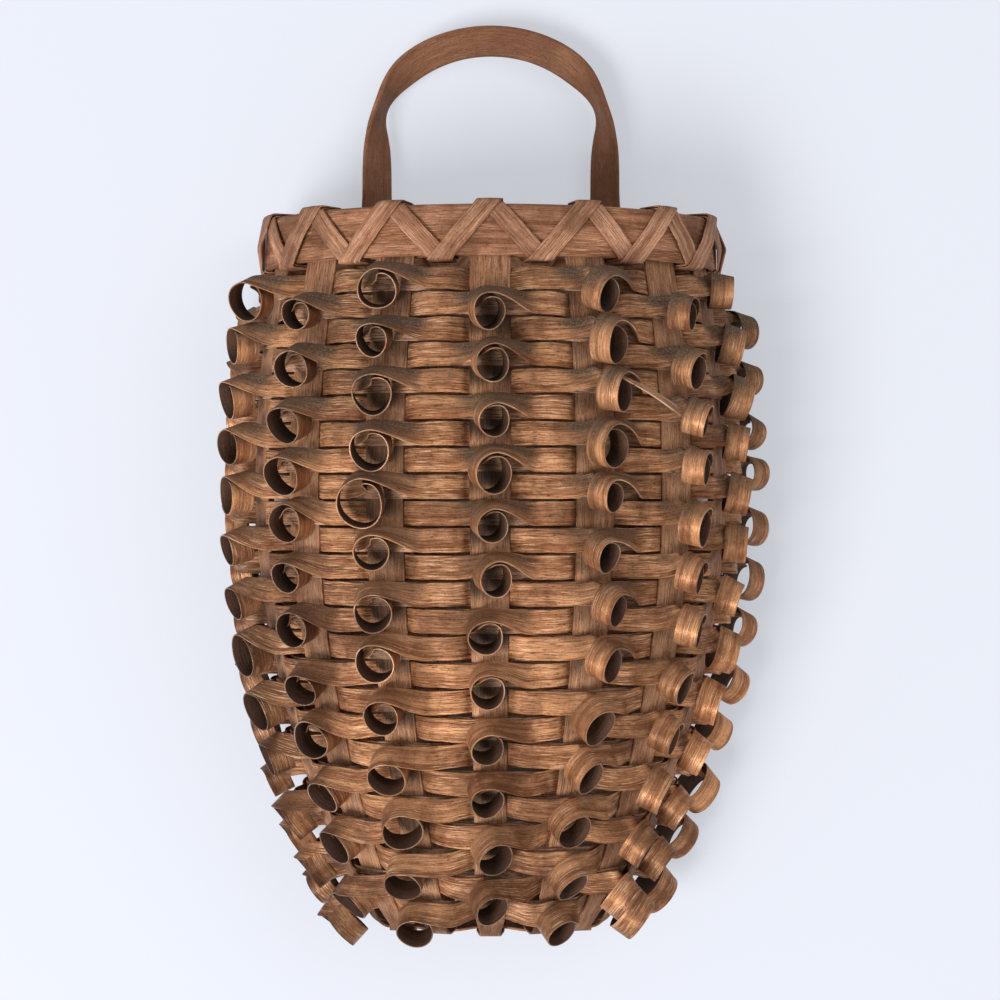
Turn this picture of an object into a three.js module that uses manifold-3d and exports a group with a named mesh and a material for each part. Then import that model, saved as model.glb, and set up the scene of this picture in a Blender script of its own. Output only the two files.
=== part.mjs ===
// Half-round wall basket plaited from flat wood splints. Curled splints cover its front and sides,
// two lashed hoops make its rim, and a bent, twisted strap makes its hanging loop.
//
// Millimetres, +Z up. The wall is the plane y = 0, the front faces -Y, and +X is the viewer's right.
// The origin is on the wall, level with the underside of the hanging loop, where a nail carries it.

import * as THREE from 'three';
import { mergeVertices } from 'three/addons/utils/BufferGeometryUtils.js';
import Module from 'manifold-3d';

// Driving dimensions of the body, each measured to the middle of the stakes. Its height follows
// from the rows of the weave.
const loopToRim = 68;
const bellyDrop = 79;
const rimHalfWidth = 82;
const rimFront = 80;
const bellyHalfWidth = 89.5;
const bellyFront = 90;
const baseHalfWidth = 44;
const baseFront = 57;
const backCorner = 14;
const backFootRadius = 10;
const bodyTaper = 0.8;
const wallRelief = 1.8;

// Splints, hoops and strap.
const gap = 0.3;
const stakeWidth = 14.4;
const stakeFootWidth = 10.5;
const stakeThickness = 0.9;
const stakeShoulder = 0.6;
const crossingSlack = 0.3;
const sideSplintPitch = 12.2;
const weaverWidth = 8.4;
const weaverThickness = 0.7;
const curlThickness = 0.5;
const hoopHeight = 18;
const outerHoopThickness = 2.8;
const innerHoopThickness = 2.5;
const lashThickness = 0.6;
const lashSpread = 9.2;
const lashInsideSlack = 0.5;
const strapWidth = 12;
const strapThickness = 2;

// Rows of the weave, counted from the rim down. The spaces between them grow evenly.
const rowCount = 25;
const firstRowSpace = 0.6;
const lastRowSpace = 1.4;
const rimToRows = 4.1;
const rowsToBase = 6.9;
const rowsPerLevel = 2;

// Stakes around the body. They are counted both ways from the front centre, which is stake 0.
// Below the last row each bends in to the base at these shares of the way down.
const halfCount = 7;
const footBends = [0.65, 0.98];
const spreadToFront = 0.024;
const spreadFromCorner = 0.021;

// Curls of the overlaid splints. Their angles are in degrees round the loop from its lowest start.
const curlInnerRadius = 4.8;
const curlOuterRadius = 7.4;
const curlHang = 4.6;
const curlLift = 0.55;
const curlRun = 9;
const curlLeave = 7.5;
const curlLand = 13;
const curlSteps = 5;
const curlFlatUntil = 35;
const curlEnd = 335;
const curlTwistLeft = 0.7;

// Hanging loop.
const loopHalfSpan = 44;
const loopLegSteps = 6;
const loopArchSteps = 10;
const legSettle = 15;
const loopArchHeight = 34.7;
const apexTurn = 28;
const shoulderTurn = 46;
const shoulderHeight = 48;
const shoulderLength = 14;

// Finishes.
const stakeFinish = { color: 0xa77f54, roughness: 0.68, metalness: 0 };
const weaverFinish = { color: 0x7d5636, roughness: 0.62, metalness: 0 };
const curlFinish = { color: 0x8a5b35, roughness: 0.5, metalness: 0 };
const hoopFinish = { color: 0x8f6a4f, roughness: 0.6, metalness: 0 };
const lashFinish = { color: 0x9a7350, roughness: 0.6, metalness: 0 };
const strapFinish = { color: 0x7f4f30, roughness: 0.45, metalness: 0 };

// Heights and layers that follow from the sizes above.
const quarter = Math.PI / 2;
const stakeCount = 2 * halfCount;
const rimTop = -loopToRim;
const rimBottom = rimTop - hoopHeight;
const firstPitch = weaverWidth + firstRowSpace;
const lastPitch = weaverWidth + lastRowSpace;
const baseLevel = rowLevel(rowCount) - weaverWidth / 2 - rowsToBase;
const bellyLevel = rimBottom - bellyDrop;
const hoopRoom = strapThickness + 2 * gap;
const lashRoom = gap + lashThickness;
const stakeLayerDepth = wallRelief + 2 * lashRoom + outerHoopThickness + hoopRoom / 2;
const weaverOut = stakeThickness / 2 + gap + weaverThickness / 2;
const overlayOut = weaverOut + weaverThickness / 2 + gap + curlThickness / 2;
const overlayIn = -(stakeThickness / 2 + gap + curlThickness / 2);
const weaverInUnderOverlay = overlayIn - curlThickness / 2 - gap - weaverThickness / 2;

const wasm = await Module();
wasm.setup();

const basket = new THREE.Group();

function lerp(a, b, t) {
  return a + (b - a) * t;
}

function addPiece(name, geometry, finish) {
  const mesh = new THREE.Mesh(geometry, new THREE.MeshStandardMaterial(finish));
  mesh.name = name;
  basket.add(mesh);
}

// Size of the D-shaped cross-section at one height: flat back, round front, rounded back corners.
// It is upright through the rim.
function levelSize(z) {
  let half;
  let front;
  if (z > bellyLevel) {
    const rise = ((Math.min(z, rimBottom) - bellyLevel) / bellyDrop) ** 2;
    half = lerp(bellyHalfWidth, rimHalfWidth, rise);
    front = lerp(bellyFront, rimFront, rise);
  } else {
    const drop = Math.min(1, (bellyLevel - z) / (bellyLevel - baseLevel));
    const fullness = Math.cos(quarter * drop) ** bodyTaper;
    half = lerp(baseHalfWidth, bellyHalfWidth, fullness);
    front = lerp(baseFront, bellyFront, fullness);
  }
  const foot = Math.min(1, Math.max(0, (baseLevel + backFootRadius - z) / backFootRadius));
  const back = stakeLayerDepth + backFootRadius * (1 - Math.sqrt(1 - foot * foot));
  const corner = backCorner * (half / bellyHalfWidth);
  return { half, front, back, corner };
}

// Half of the cross-section as a line of points, from the front centre round to the back centre.
function sectionLine(z) {
  const { half, front, back, corner } = levelSize(z);
  const middle = back + corner;
  const frontSteps = 24;
  const cornerSteps = 8;
  const points = [];
  for (let step = 0; step <= frontSteps; step += 1) {
    const angle = quarter * (step / frontSteps);
    points.push([half * Math.sin(angle), -middle - (front - middle) * Math.cos(angle)]);
  }
  for (let step = 1; step <= cornerSteps; step += 1) {
    const angle = quarter * (step / cornerSteps);
    points.push([half - corner + corner * Math.cos(angle), -middle + corner * Math.sin(angle)]);
  }
  points.push([0, -back]);
  const lengths = [0];
  for (let n = 1; n < points.length; n += 1) {
    const step = Math.hypot(points[n][0] - points[n - 1][0], points[n][1] - points[n - 1][1]);
    lengths.push(lengths[n - 1] + step);
  }
  return { points, lengths, total: lengths[lengths.length - 1] };
}

const sections = new Map();

function sectionAt(z) {
  if (!sections.has(z)) {
    sections.set(z, sectionLine(z));
  }
  return sections.get(z);
}

// Point on the cross-section at a distance from the front centre, positive to the viewer's right.
function pointAtLength(z, length) {
  const { points, lengths, total } = sectionAt(z);
  let side = Math.sign(length) || 1;
  let along = Math.abs(length);
  if (along > total) {
    along = 2 * total - along;
    side = -side;
  }
  let n = 1;
  while (n < lengths.length - 1 && lengths[n] < along) {
    n += 1;
  }
  const t = (along - lengths[n - 1]) / (lengths[n] - lengths[n - 1]);
  const x = lerp(points[n - 1][0], points[n][0], t);
  const y = lerp(points[n - 1][1], points[n][1], t);
  return new THREE.Vector3(side * x, y, z);
}

// Share of the half section at which a stake stands. The front stakes stand wider apart.
function stakeShare(stake) {
  const turn = (Math.PI * stake) / halfCount;
  return stake / halfCount + spreadToFront * Math.sin(turn) + spreadFromCorner * Math.sin(2 * turn);
}

function stakeWidthAt(z) {
  const drop = Math.min(1, Math.max(0, (bellyLevel - z) / (bellyLevel - baseLevel)));
  return lerp(stakeWidth, stakeFootWidth, drop);
}

// Row heights, and the levels between rows at which the stakes bend.
function rowLevel(row) {
  const above = row - 1;
  const growth = ((lastPitch - firstPitch) * above * above) / (2 * (rowCount - 1));
  return rimBottom - rimToRows - weaverWidth / 2 - above * firstPitch - growth;
}

function bendLevels() {
  const levels = [rimTop, rimBottom - 2 * lashRoom];
  for (let row = rowsPerLevel; row < rowCount; row += rowsPerLevel) {
    levels.push((rowLevel(row) + rowLevel(row + 1)) / 2);
  }
  levels.push(rowLevel(rowCount) - lastPitch / 2);
  return levels;
}

const bends = bendLevels();

// The flat of a stake at one bend level: its two shoulders, a little wider than the stake.
function shouldersAt(stake, z) {
  const middle = stakeShare(stake) * sectionAt(z).total;
  const reach = stakeWidthAt(z) / 2 + stakeShoulder;
  return [pointAtLength(z, middle - reach), pointAtLength(z, middle + reach)];
}

// The same flat at any height, straight between the bend levels, with its three directions.
function stakeFlat(stake, z) {
  let n = 1;
  while (n < bends.length - 1 && bends[n] > z) {
    n += 1;
  }
  const upper = shouldersAt(stake, bends[n - 1]);
  const lower = shouldersAt(stake, bends[n]);
  const t = (bends[n - 1] - z) / (bends[n - 1] - bends[n]);
  const left = upper[0].clone().lerp(lower[0], t);
  const right = upper[1].clone().lerp(lower[1], t);
  const top = upper[0].clone().add(upper[1]);
  const bottom = lower[0].clone().add(lower[1]);
  const down = bottom.sub(top).normalize();
  const along = right.clone().sub(left).normalize();
  const out = down.clone().cross(along).normalize();
  const centre = left.clone().add(right).multiplyScalar(0.5);
  return { left, right, centre, along, down, out, reach: right.distanceTo(left) / 2 };
}

// A flat strip swept through stations. Each has a centre and a half-width vector across the strip.
// Half of the thickness is lifted square to the strip's run and width, unless a station says how.
function ribbon(stations, thickness, closed) {
  const count = stations.length;
  const positions = [];
  for (let n = 0; n < count; n += 1) {
    const before = closed ? stations[(n + count - 1) % count] : stations[Math.max(0, n - 1)];
    const after = closed ? stations[(n + 1) % count] : stations[Math.min(count - 1, n + 1)];
    const here = stations[n];
    const run = after.centre.clone().sub(before.centre);
    const lift = here.lift ?? run.cross(here.across).setLength(thickness / 2);
    for (const [side, face] of [[-1, -1], [1, -1], [1, 1], [-1, 1]]) {
      const corner = here.centre.clone().addScaledVector(here.across, side).addScaledVector(lift, face);
      positions.push(corner.x, corner.y, corner.z);
    }
  }
  const indices = [];
  const spans = closed ? count : count - 1;
  for (let n = 0; n < spans; n += 1) {
    const a = 4 * n;
    const b = 4 * ((n + 1) % count);
    for (let c = 0; c < 4; c += 1) {
      const d = (c + 1) % 4;
      indices.push(a + c, a + d, b + d, a + c, b + d, b + c);
    }
  }
  if (!closed) {
    const last = 4 * (count - 1);
    indices.push(0, 3, 2, 0, 2, 1);
    indices.push(last, last + 1, last + 2, last, last + 2, last + 3);
  }
  return facingOut(positions, indices);
}

// A geometry whose faces point out, whichever way its strip was swept.
function facingOut(positions, indices) {
  const corner = (n) => new THREE.Vector3(...positions.slice(3 * n, 3 * n + 3));
  let volume = 0;
  for (let n = 0; n < indices.length; n += 3) {
    const [a, b, c] = [corner(indices[n]), corner(indices[n + 1]), corner(indices[n + 2])];
    volume += a.dot(b.cross(c));
  }
  const order = volume < 0 ? indices.slice().reverse() : indices;
  const geometry = new THREE.BufferGeometry();
  geometry.setAttribute('position', new THREE.Float32BufferAttribute(positions, 3));
  geometry.setIndex(order);
  return geometry;
}

function toSolid(geometry) {
  const merged = mergeVertices(geometry);
  const mesh = new wasm.Mesh({
    numProp: 3,
    vertProperties: Float32Array.from(merged.attributes.position.array),
    triVerts: Uint32Array.from(merged.index.array),
  });
  return new wasm.Manifold(mesh);
}

function joined(first, second) {
  const mesh = toSolid(first).add(toSolid(second)).getMesh();
  const geometry = new THREE.BufferGeometry();
  geometry.setAttribute('position', new THREE.BufferAttribute(mesh.vertProperties, 3));
  geometry.setIndex(new THREE.BufferAttribute(mesh.triVerts, 1));
  return geometry;
}

// Stakes. Seven long splints cross at the base, and their fourteen ends stand up as the stakes.
function wallRun(stake) {
  const lastBend = bends.at(-1);
  const footLevels = footBends.map((share) => lerp(lastBend, baseLevel, share));
  const levels = [rimTop - gap, ...bends.slice(1), ...footLevels];
  return levels.map((z) => {
    const [left, right] = shouldersAt(stake, z);
    const centre = left.clone().add(right).multiplyScalar(0.5);
    const across = right.sub(left).setLength(stakeWidthAt(z) / 2);
    return { centre, across };
  });
}

const crossing = (stakeThickness + gap) / 2;
const crossReach = stakeFootWidth / 2 + crossingSlack;
const footAt = (stake) => wallRun(stake).at(-1).centre;
const sideStakes = [3, 4];
const rearCrossing = -(levelSize(baseLevel).back + crossReach);
const frontStakes = [-2, -1, 0, 1, 2];
const backStakeOf = (stake) => Math.sign(stake || 1) * halfCount - stake;

function isOver(front, side) {
  return (front + side) % 2 === 0 ? 1 : -1;
}

// Where a front-to-back splint passes a side-to-side one on the base.
function crossingPoint(front, side) {
  const start = footAt(front);
  const end = footAt(backStakeOf(front));
  const y = rearCrossing - (sideStakes.at(-1) - side) * sideSplintPitch;
  const x = lerp(start.x, end.x, (y - start.y) / (end.y - start.y));
  return new THREE.Vector3(x, y, baseLevel);
}

function frontToBackSplint(front) {
  const down = wallRun(front);
  const up = wallRun(backStakeOf(front)).reverse();
  const run = up[0].centre.clone().sub(down.at(-1).centre).normalize();
  const across = new THREE.Vector3(-run.y, run.x, 0).normalize().multiplyScalar(-stakeFootWidth / 2);
  const stations = [...down];
  for (const side of sideStakes) {
    const point = crossingPoint(front, side);
    point.z += isOver(front, side) * crossing;
    stations.push({ centre: point.clone().addScaledVector(run, -crossReach), across });
    stations.push({ centre: point.clone().addScaledVector(run, crossReach), across });
  }
  for (const station of up) {
    stations.push({ centre: station.centre, across: station.across.clone().negate() });
  }
  return ribbon(stations, stakeThickness, false);
}

function sideToSideSplint(side) {
  const down = wallRun(side);
  const up = wallRun(-side).reverse();
  const run = new THREE.Vector3(-1, 0, 0);
  const across = new THREE.Vector3(0, stakeFootWidth / 2, 0);
  const stations = [...down];
  for (const front of [...frontStakes].reverse()) {
    const point = crossingPoint(front, side);
    point.z -= isOver(front, side) * crossing;
    stations.push({ centre: point.clone().addScaledVector(run, -crossReach), across });
    stations.push({ centre: point.clone().addScaledVector(run, crossReach), across });
  }
  for (const station of up) {
    stations.push({ centre: station.centre, across: station.across.clone().negate() });
  }
  return ribbon(stations, stakeThickness, false);
}

frontStakes.forEach((front, n) => {
  addPiece(`stake_splint_front_${n + 1}`, frontToBackSplint(front), stakeFinish);
});
sideStakes.forEach((side, n) => {
  addPiece(`stake_splint_side_${n + 1}`, sideToSideSplint(side), stakeFinish);
});

// Weavers. One hoop of splint to a row passes outside and inside the stakes by turns.
function passesOutside(stake, row) {
  return (stake + row) % 2 === 0;
}

function overlayEnd(row) {
  return row % 2 === 0 ? 5 : 4;
}

function weaverOffset(stake, row) {
  if (passesOutside(stake, row)) {
    return weaverOut;
  }
  if (Math.abs(stake) === overlayEnd(row)) {
    return weaverInUnderOverlay - gap;
  }
  return Math.abs(stake) < overlayEnd(row) ? weaverInUnderOverlay : -weaverOut;
}

function weaver(row) {
  const stations = [];
  for (let stake = 1 - halfCount; stake <= halfCount; stake += 1) {
    const flat = stakeFlat(stake, rowLevel(row));
    const across = flat.down.clone().multiplyScalar(weaverWidth / 2);
    for (const shoulder of [flat.left, flat.right]) {
      stations.push({ centre: shoulder.clone().addScaledVector(flat.out, weaverOffset(stake, row)), across });
    }
  }
  return ribbon(stations, weaverThickness, true);
}

// Curl splints. Each lies over its row's weaver, and every time it passes outside a stake it turns
// on edge, makes one loop over its own start, and lies flat again before it goes behind the next.
function place(flat, t, v, n) {
  const centre = flat.centre.clone().addScaledVector(flat.along, t);
  return centre.addScaledVector(flat.down, v).addScaledVector(flat.out, n);
}

function curlAcross(flat, angle, turn) {
  const inward = flat.along.clone().multiplyScalar(-Math.sin(angle) * Math.cos(turn));
  inward.addScaledVector(flat.down, Math.cos(angle) * Math.cos(turn));
  return inward.addScaledVector(flat.out, -Math.sin(turn)).multiplyScalar(weaverWidth / 2);
}

function curlStations(flat, room, lying) {
  const standing = overlayOut + curlThickness / 2 + curlLift + weaverWidth / 2;
  const land = Math.min(curlLand, room - weaverWidth / 2);
  const leave = Math.min(curlLeave, land - curlThickness - weaverWidth / 2);
  const crest = curlHang - curlOuterRadius;
  const stations = [{ centre: place(flat, -curlRun, 0, lying), across: curlAcross(flat, 0, 0) }];
  for (let step = 0; step < curlSteps; step += 1) {
    const degrees = lerp(curlFlatUntil, curlEnd, step / (curlSteps - 1));
    const angle = THREE.MathUtils.degToRad(degrees);
    const radius = lerp(curlInnerRadius, curlOuterRadius, degrees / 360);
    const turn = step === 0 ? 0 : quarter;
    const height = step === 0 ? lying : standing;
    const centre = place(flat, radius * Math.sin(angle), curlHang - radius * Math.cos(angle), height);
    stations.push({ centre, across: curlAcross(flat, angle, turn) });
  }
  const lowered = standing - curlThickness;
  const tipped = curlAcross(flat, 0, curlTwistLeft * quarter);
  stations.push({ centre: place(flat, leave, crest, lowered), across: tipped });
  stations.push({ centre: place(flat, land, crest / 4, overlayOut), across: curlAcross(flat, 0, 0) });
  return stations;
}

function curlSplint(row, lying) {
  const end = overlayEnd(row);
  const stations = [];
  for (let stake = -end; stake <= end; stake += 1) {
    const flat = stakeFlat(stake, rowLevel(row));
    if (passesOutside(stake, row)) {
      const next = stakeFlat(stake + 1, rowLevel(row));
      stations.push(...curlStations(flat, flat.centre.distanceTo(next.left), lying));
    } else {
      const across = flat.down.clone().multiplyScalar(weaverWidth / 2);
      for (const shoulder of [flat.left, flat.right]) {
        stations.push({ centre: shoulder.clone().addScaledVector(flat.out, overlayIn), across });
      }
    }
  }
  return ribbon(stations, curlThickness, false);
}

for (let row = 1; row < rowCount; row += 1) {
  const label = String(row).padStart(2, '0');
  addPiece(`weaver_row_${label}`, weaver(row), weaverFinish);
  addPiece(`curl_row_${label}`, curlSplint(row, overlayOut), curlFinish);
}
const bondedHeight = weaverOut + weaverThickness / 2 + curlThickness / 4;
const lowestRow = joined(weaver(rowCount), curlSplint(rowCount, bondedHeight));
addPiece(`weaver_row_${rowCount}`, lowestRow, weaverFinish);

// Rim. Two hoops clamp the tops of the stakes and the legs of the hanging loop.
function hoop(offset, thickness) {
  const stations = [];
  const across = new THREE.Vector3(0, 0, -hoopHeight / 2);
  for (let stake = 1 - halfCount; stake <= halfCount; stake += 1) {
    const flat = stakeFlat(stake, rimTop);
    const out = new THREE.Vector3(flat.out.x, flat.out.y, 0).normalize();
    for (const shoulder of [flat.left, flat.right]) {
      const centre = shoulder.clone().addScaledVector(out, offset);
      centre.z = rimTop - hoopHeight / 2;
      stations.push({ centre, across, lift: out.clone().multiplyScalar(thickness / 2) });
    }
  }
  return ribbon(stations, thickness, true);
}

addPiece('rim_outer_hoop', hoop(hoopRoom / 2 + outerHoopThickness / 2, outerHoopThickness), hoopFinish);
addPiece('rim_inner_hoop', hoop(-hoopRoom / 2 - innerHoopThickness / 2, innerHoopThickness), hoopFinish);

// Rim lashing. One strip winds round the rim twice. Its first pass leans one way and lies on the
// hoops, and its second leans the other way over the first. Both go over the rim at every stake
// and under it between the stakes.
const outerFace = hoopRoom / 2 + outerHoopThickness;
const innerFace = -hoopRoom / 2 - innerHoopThickness - lashInsideSlack;

function wrapped(stake) {
  return stake > halfCount ? stake - stakeCount : stake;
}

function rimShoulder(stake, side, offset) {
  const flat = stakeFlat(stake, rimTop);
  return (side < 0 ? flat.left : flat.right).clone().addScaledVector(flat.out, offset);
}

// Half of the strip's thickness, away from the hoops, where it turns over an edge or lies on a face.
function lashLift(along, side, up) {
  const out = new THREE.Vector3(along.y, -along.x, 0).normalize().multiplyScalar(side);
  return out.setZ(up).multiplyScalar(lashThickness / 2);
}

// Middle of a stake, or of the space after it, on a line that runs round the rim at one offset.
// The strip draws in to fit a narrow space.
function rimMiddle(stake, isSpace, offset, height) {
  const first = isSpace ? rimShoulder(stake, 1, offset) : rimShoulder(stake, -1, offset);
  const second = isSpace ? rimShoulder(wrapped(stake + 1), -1, offset) : rimShoulder(stake, 1, offset);
  const centre = first.clone().add(second).multiplyScalar(0.5);
  centre.z = height;
  const along = second.sub(first);
  const spread = Math.min(lashSpread, along.length() - 2 * lashThickness);
  const up = height > rimTop ? 1 : -1;
  return { centre, across: along.setLength(spread / 2), lift: lashLift(along, Math.sign(offset), up) };
}

// The corner of the line where a space meets a stake, passed on the strip's way up the outer hoop.
// The strip is stiff across its width, so the sharper the corner, the further it stands off.
function rimCorner(stake, side, offset, low, high) {
  const space = side < 0 ? wrapped(stake + stakeCount - 1) : stake;
  const stakeMiddle = rimMiddle(stake, false, offset, 0);
  const spaceMiddle = rimMiddle(space, true, offset, 0);
  const centre = rimShoulder(stake, side, offset);
  const turn = stakeMiddle.across.angleTo(spaceMiddle.across);
  const below = centre.distanceTo(spaceMiddle.centre.setZ(centre.z));
  const above = centre.distanceTo(stakeMiddle.centre.setZ(centre.z));
  centre.z = lerp(low, high, below / (below + above));
  const across = stakeMiddle.across.add(spaceMiddle.across).setLength(lashSpread / 2);
  const lift = lashLift(across, 1, 0);
  centre.addScaledVector(lift, (lashSpread / lashThickness) * Math.sin(turn / 2));
  return { centre, across, lift };
}

function lashPass(layer, direction) {
  const reach = layer * lashRoom - lashThickness / 2;
  const low = rimBottom - reach;
  const high = rimTop + reach;
  const stations = [];
  for (let turn = 0; turn < stakeCount; turn += 1) {
    const stake = direction > 0 ? 1 - halfCount + turn : halfCount - turn;
    const spaceBefore = direction > 0 ? wrapped(stake + stakeCount - 1) : stake;
    const spaceAfter = direction > 0 ? stake : wrapped(stake + stakeCount - 1);
    stations.push(rimMiddle(spaceBefore, true, outerFace + reach, low));
    stations.push(rimCorner(stake, -direction, outerFace + reach, low, high));
    stations.push(rimMiddle(stake, false, outerFace + reach, high));
    stations.push(rimMiddle(stake, false, innerFace - reach, high));
    stations.push(rimMiddle(spaceAfter, true, innerFace - reach, low));
  }
  return stations;
}

addPiece('rim_lashing', ribbon([...lashPass(1, -1), ...lashPass(2, 1)], lashThickness, false), lashFinish);

// Hanging loop. Its legs stand between the hoops. The strap turns nearly edge on at the shoulders,
// where it bends, and turns back to face the front at the top.
const loopSpring = strapWidth / 2 * Math.cos(THREE.MathUtils.degToRad(apexTurn)) - loopArchHeight;

function loopCentreLine() {
  const legFoot = rimBottom + gap;
  const points = [[-loopHalfSpan, legFoot], [-loopHalfSpan, lerp(legFoot, rimTop, 0.5)]];
  for (let step = 0; step < loopLegSteps; step += 1) {
    points.push([-loopHalfSpan, lerp(rimTop, loopSpring, step / loopLegSteps)]);
  }
  for (let step = 0; step <= loopArchSteps; step += 1) {
    const angle = quarter * (step / loopArchSteps);
    points.push([-loopHalfSpan * Math.cos(angle), loopSpring + loopArchHeight * Math.sin(angle)]);
  }
  const mirrored = points.slice(0, -1).reverse().map(([x, z]) => [-x, z]);
  return [...points, ...mirrored];
}

function strapTurn(distance) {
  const settled = THREE.MathUtils.smoothstep(distance, 0, legSettle);
  const bump = Math.exp(-(((distance - shoulderHeight) / shoulderLength) ** 2));
  return THREE.MathUtils.degToRad(settled * (apexTurn + shoulderTurn * bump));
}

function hangingLoop() {
  const line = loopCentreLine();
  const lengths = [0];
  for (let n = 1; n < line.length; n += 1) {
    lengths.push(lengths[n - 1] + Math.hypot(line[n][0] - line[n - 1][0], line[n][1] - line[n - 1][1]));
  }
  const whole = lengths.at(-1);
  const buried = hoopHeight - gap;
  const stations = line.map(([x, z], n) => {
    const before = line[Math.max(0, n - 1)];
    const after = line[Math.min(line.length - 1, n + 1)];
    const away = new THREE.Vector3(-(after[1] - before[1]), 0, after[0] - before[0]).normalize();
    const turn = strapTurn(Math.min(lengths[n], whole - lengths[n]) - buried);
    const across = away.multiplyScalar(Math.cos(turn)).add(new THREE.Vector3(0, -Math.sin(turn), 0));
    return { centre: new THREE.Vector3(x, -stakeLayerDepth, z), across: across.setLength(strapWidth / 2) };
  });
  return ribbon(stations, strapThickness, false);
}

addPiece('hanging_loop', hangingLoop(), strapFinish);

export default basket;
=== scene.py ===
# %% [markdown]
# # A plaited wall basket, covered in curls
#
# The real object is a half-round basket of flat ash splints. Upright stakes cross on its base and
# stand up around it, and level weavers pass outside and inside them by turns. A second, thinner
# splint lies over each weaver and turns one loop, a curl, wherever it passes outside a stake. Two
# hoops and a lashing make the rim, and a bent strap is the hanging loop.
#
# Nearly every piece is one flat strip that follows a path. So this lesson works out each path from
# a few sizes, and lets one Geometry Nodes tree sweep the strip along it.

# %% The packed model is the frame
import math
import random

import bpy
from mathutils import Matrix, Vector


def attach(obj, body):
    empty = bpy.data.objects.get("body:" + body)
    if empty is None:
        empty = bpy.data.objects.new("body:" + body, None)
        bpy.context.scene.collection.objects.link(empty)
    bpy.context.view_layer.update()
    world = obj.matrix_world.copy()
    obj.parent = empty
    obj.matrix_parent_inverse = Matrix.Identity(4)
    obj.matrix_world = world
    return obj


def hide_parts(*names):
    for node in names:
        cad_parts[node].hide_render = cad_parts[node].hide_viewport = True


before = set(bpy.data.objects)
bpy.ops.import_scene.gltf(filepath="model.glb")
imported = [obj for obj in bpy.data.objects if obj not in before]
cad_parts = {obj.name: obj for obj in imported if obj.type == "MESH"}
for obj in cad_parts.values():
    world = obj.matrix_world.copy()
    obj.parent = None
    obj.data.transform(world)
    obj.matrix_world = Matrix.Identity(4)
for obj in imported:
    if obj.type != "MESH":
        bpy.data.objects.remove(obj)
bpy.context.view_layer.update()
print("nodes in the frame:", len(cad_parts))

# %% [markdown]
# ## The camera
#
# The basket was photographed lying on its back, from straight above its front. In the basket's own
# frame that is a camera in front of it, level with the upper part of the body, which looks along +Y.

# %% Camera
CAMERA_PLACE = (0.0035, -0.825, -0.172)
CAMERA_ANGLE = math.radians(26.6)

camera_data = bpy.data.cameras.new("camera")
camera_data.angle = CAMERA_ANGLE
camera = bpy.data.objects.new("camera", camera_data)
camera.location = CAMERA_PLACE
camera.rotation_euler = (math.pi / 2, 0, 0)
bpy.context.scene.collection.objects.link(camera)
bpy.context.scene.camera = camera
print("camera at", CAMERA_PLACE)

# %% [markdown]
# ## Driving sizes
#
# These are the sizes of the solid model, in metres. The weave, the rim and the loop follow from
# them, so that each dressed piece lies where its plain solid lies.

# %% Sizes of the body
MM = 0.001
RIM_TOP = -68 * MM
HOOP_HEIGHT = 18 * MM
BELLY_DROP = 79 * MM
RIM_HALF, RIM_FRONT = 82 * MM, 80 * MM
BELLY_HALF, BELLY_FRONT = 89.5 * MM, 90 * MM
BASE_HALF, BASE_FRONT = 44 * MM, 57 * MM
BACK_CORNER = 14 * MM
BACK_FOOT_RADIUS = 10 * MM
BODY_TAPER = 0.8
WALL_RELIEF = 1.8 * MM
print("belly", round(2 * BELLY_HALF / MM), "mm wide and", round(BELLY_FRONT / MM), "mm deep")

# %% Sizes of the splints, hoops and strap
GAP = 0.3 * MM
STAKE_WIDTH, STAKE_FOOT_WIDTH, STAKE_THICKNESS = 14.4 * MM, 10.5 * MM, 0.9 * MM
STAKE_SHOULDER = 0.6 * MM
WEAVER_WIDTH, WEAVER_THICKNESS = 8.4 * MM, 0.7 * MM
CURL_THICKNESS = 0.5 * MM
OUTER_HOOP, INNER_HOOP = 2.8 * MM, 2.5 * MM
LASH_SPREAD, LASH_THICKNESS = 9.2 * MM, 0.6 * MM
STRAP_WIDTH, STRAP_THICKNESS = 12 * MM, 2 * MM
print("stakes", round(STAKE_WIDTH / MM, 1), "mm wide, weavers", round(WEAVER_WIDTH / MM, 1), "mm")

# %% Counts and levels
ROWS = 25
FIRST_PITCH, LAST_PITCH = 9.0 * MM, 9.8 * MM
RIM_TO_ROWS, ROWS_TO_BASE = 4.1 * MM, 6.9 * MM
HALF_COUNT = 7
STAKES = 2 * HALF_COUNT

RIM_BOTTOM = RIM_TOP - HOOP_HEIGHT
BELLY = RIM_BOTTOM - BELLY_DROP
FIRST_ROW = RIM_BOTTOM - RIM_TO_ROWS - WEAVER_WIDTH / 2
HOOP_ROOM = STRAP_THICKNESS + 2 * GAP
LASH_ROOM = GAP + LASH_THICKNESS
STAKE_LAYER = WALL_RELIEF + 2 * LASH_ROOM + OUTER_HOOP + HOOP_ROOM / 2


def row_level(row):
    above = row - 1
    growth = (LAST_PITCH - FIRST_PITCH) * above * above / (2 * (ROWS - 1))
    return FIRST_ROW - above * FIRST_PITCH - growth


BASE = row_level(ROWS) - WEAVER_WIDTH / 2 - ROWS_TO_BASE
print("base level", round(BASE, 4), "lowest row", round(row_level(ROWS), 4))

# %% [markdown]
# ## The body's cross-section
#
# Seen from above the basket is a D: half an ellipse in front, a straight back and two round back
# corners. The D swells from the rim to the belly and shrinks to the base. A place on it is given by
# its height and by the distance along the D from the front centre, because that is how stakes are
# spaced on a real basket.


# %% Blending helpers
def lerp(a, b, t):
    return a + (b - a) * t


def clamped(t):
    return min(1.0, max(0.0, t))


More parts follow.
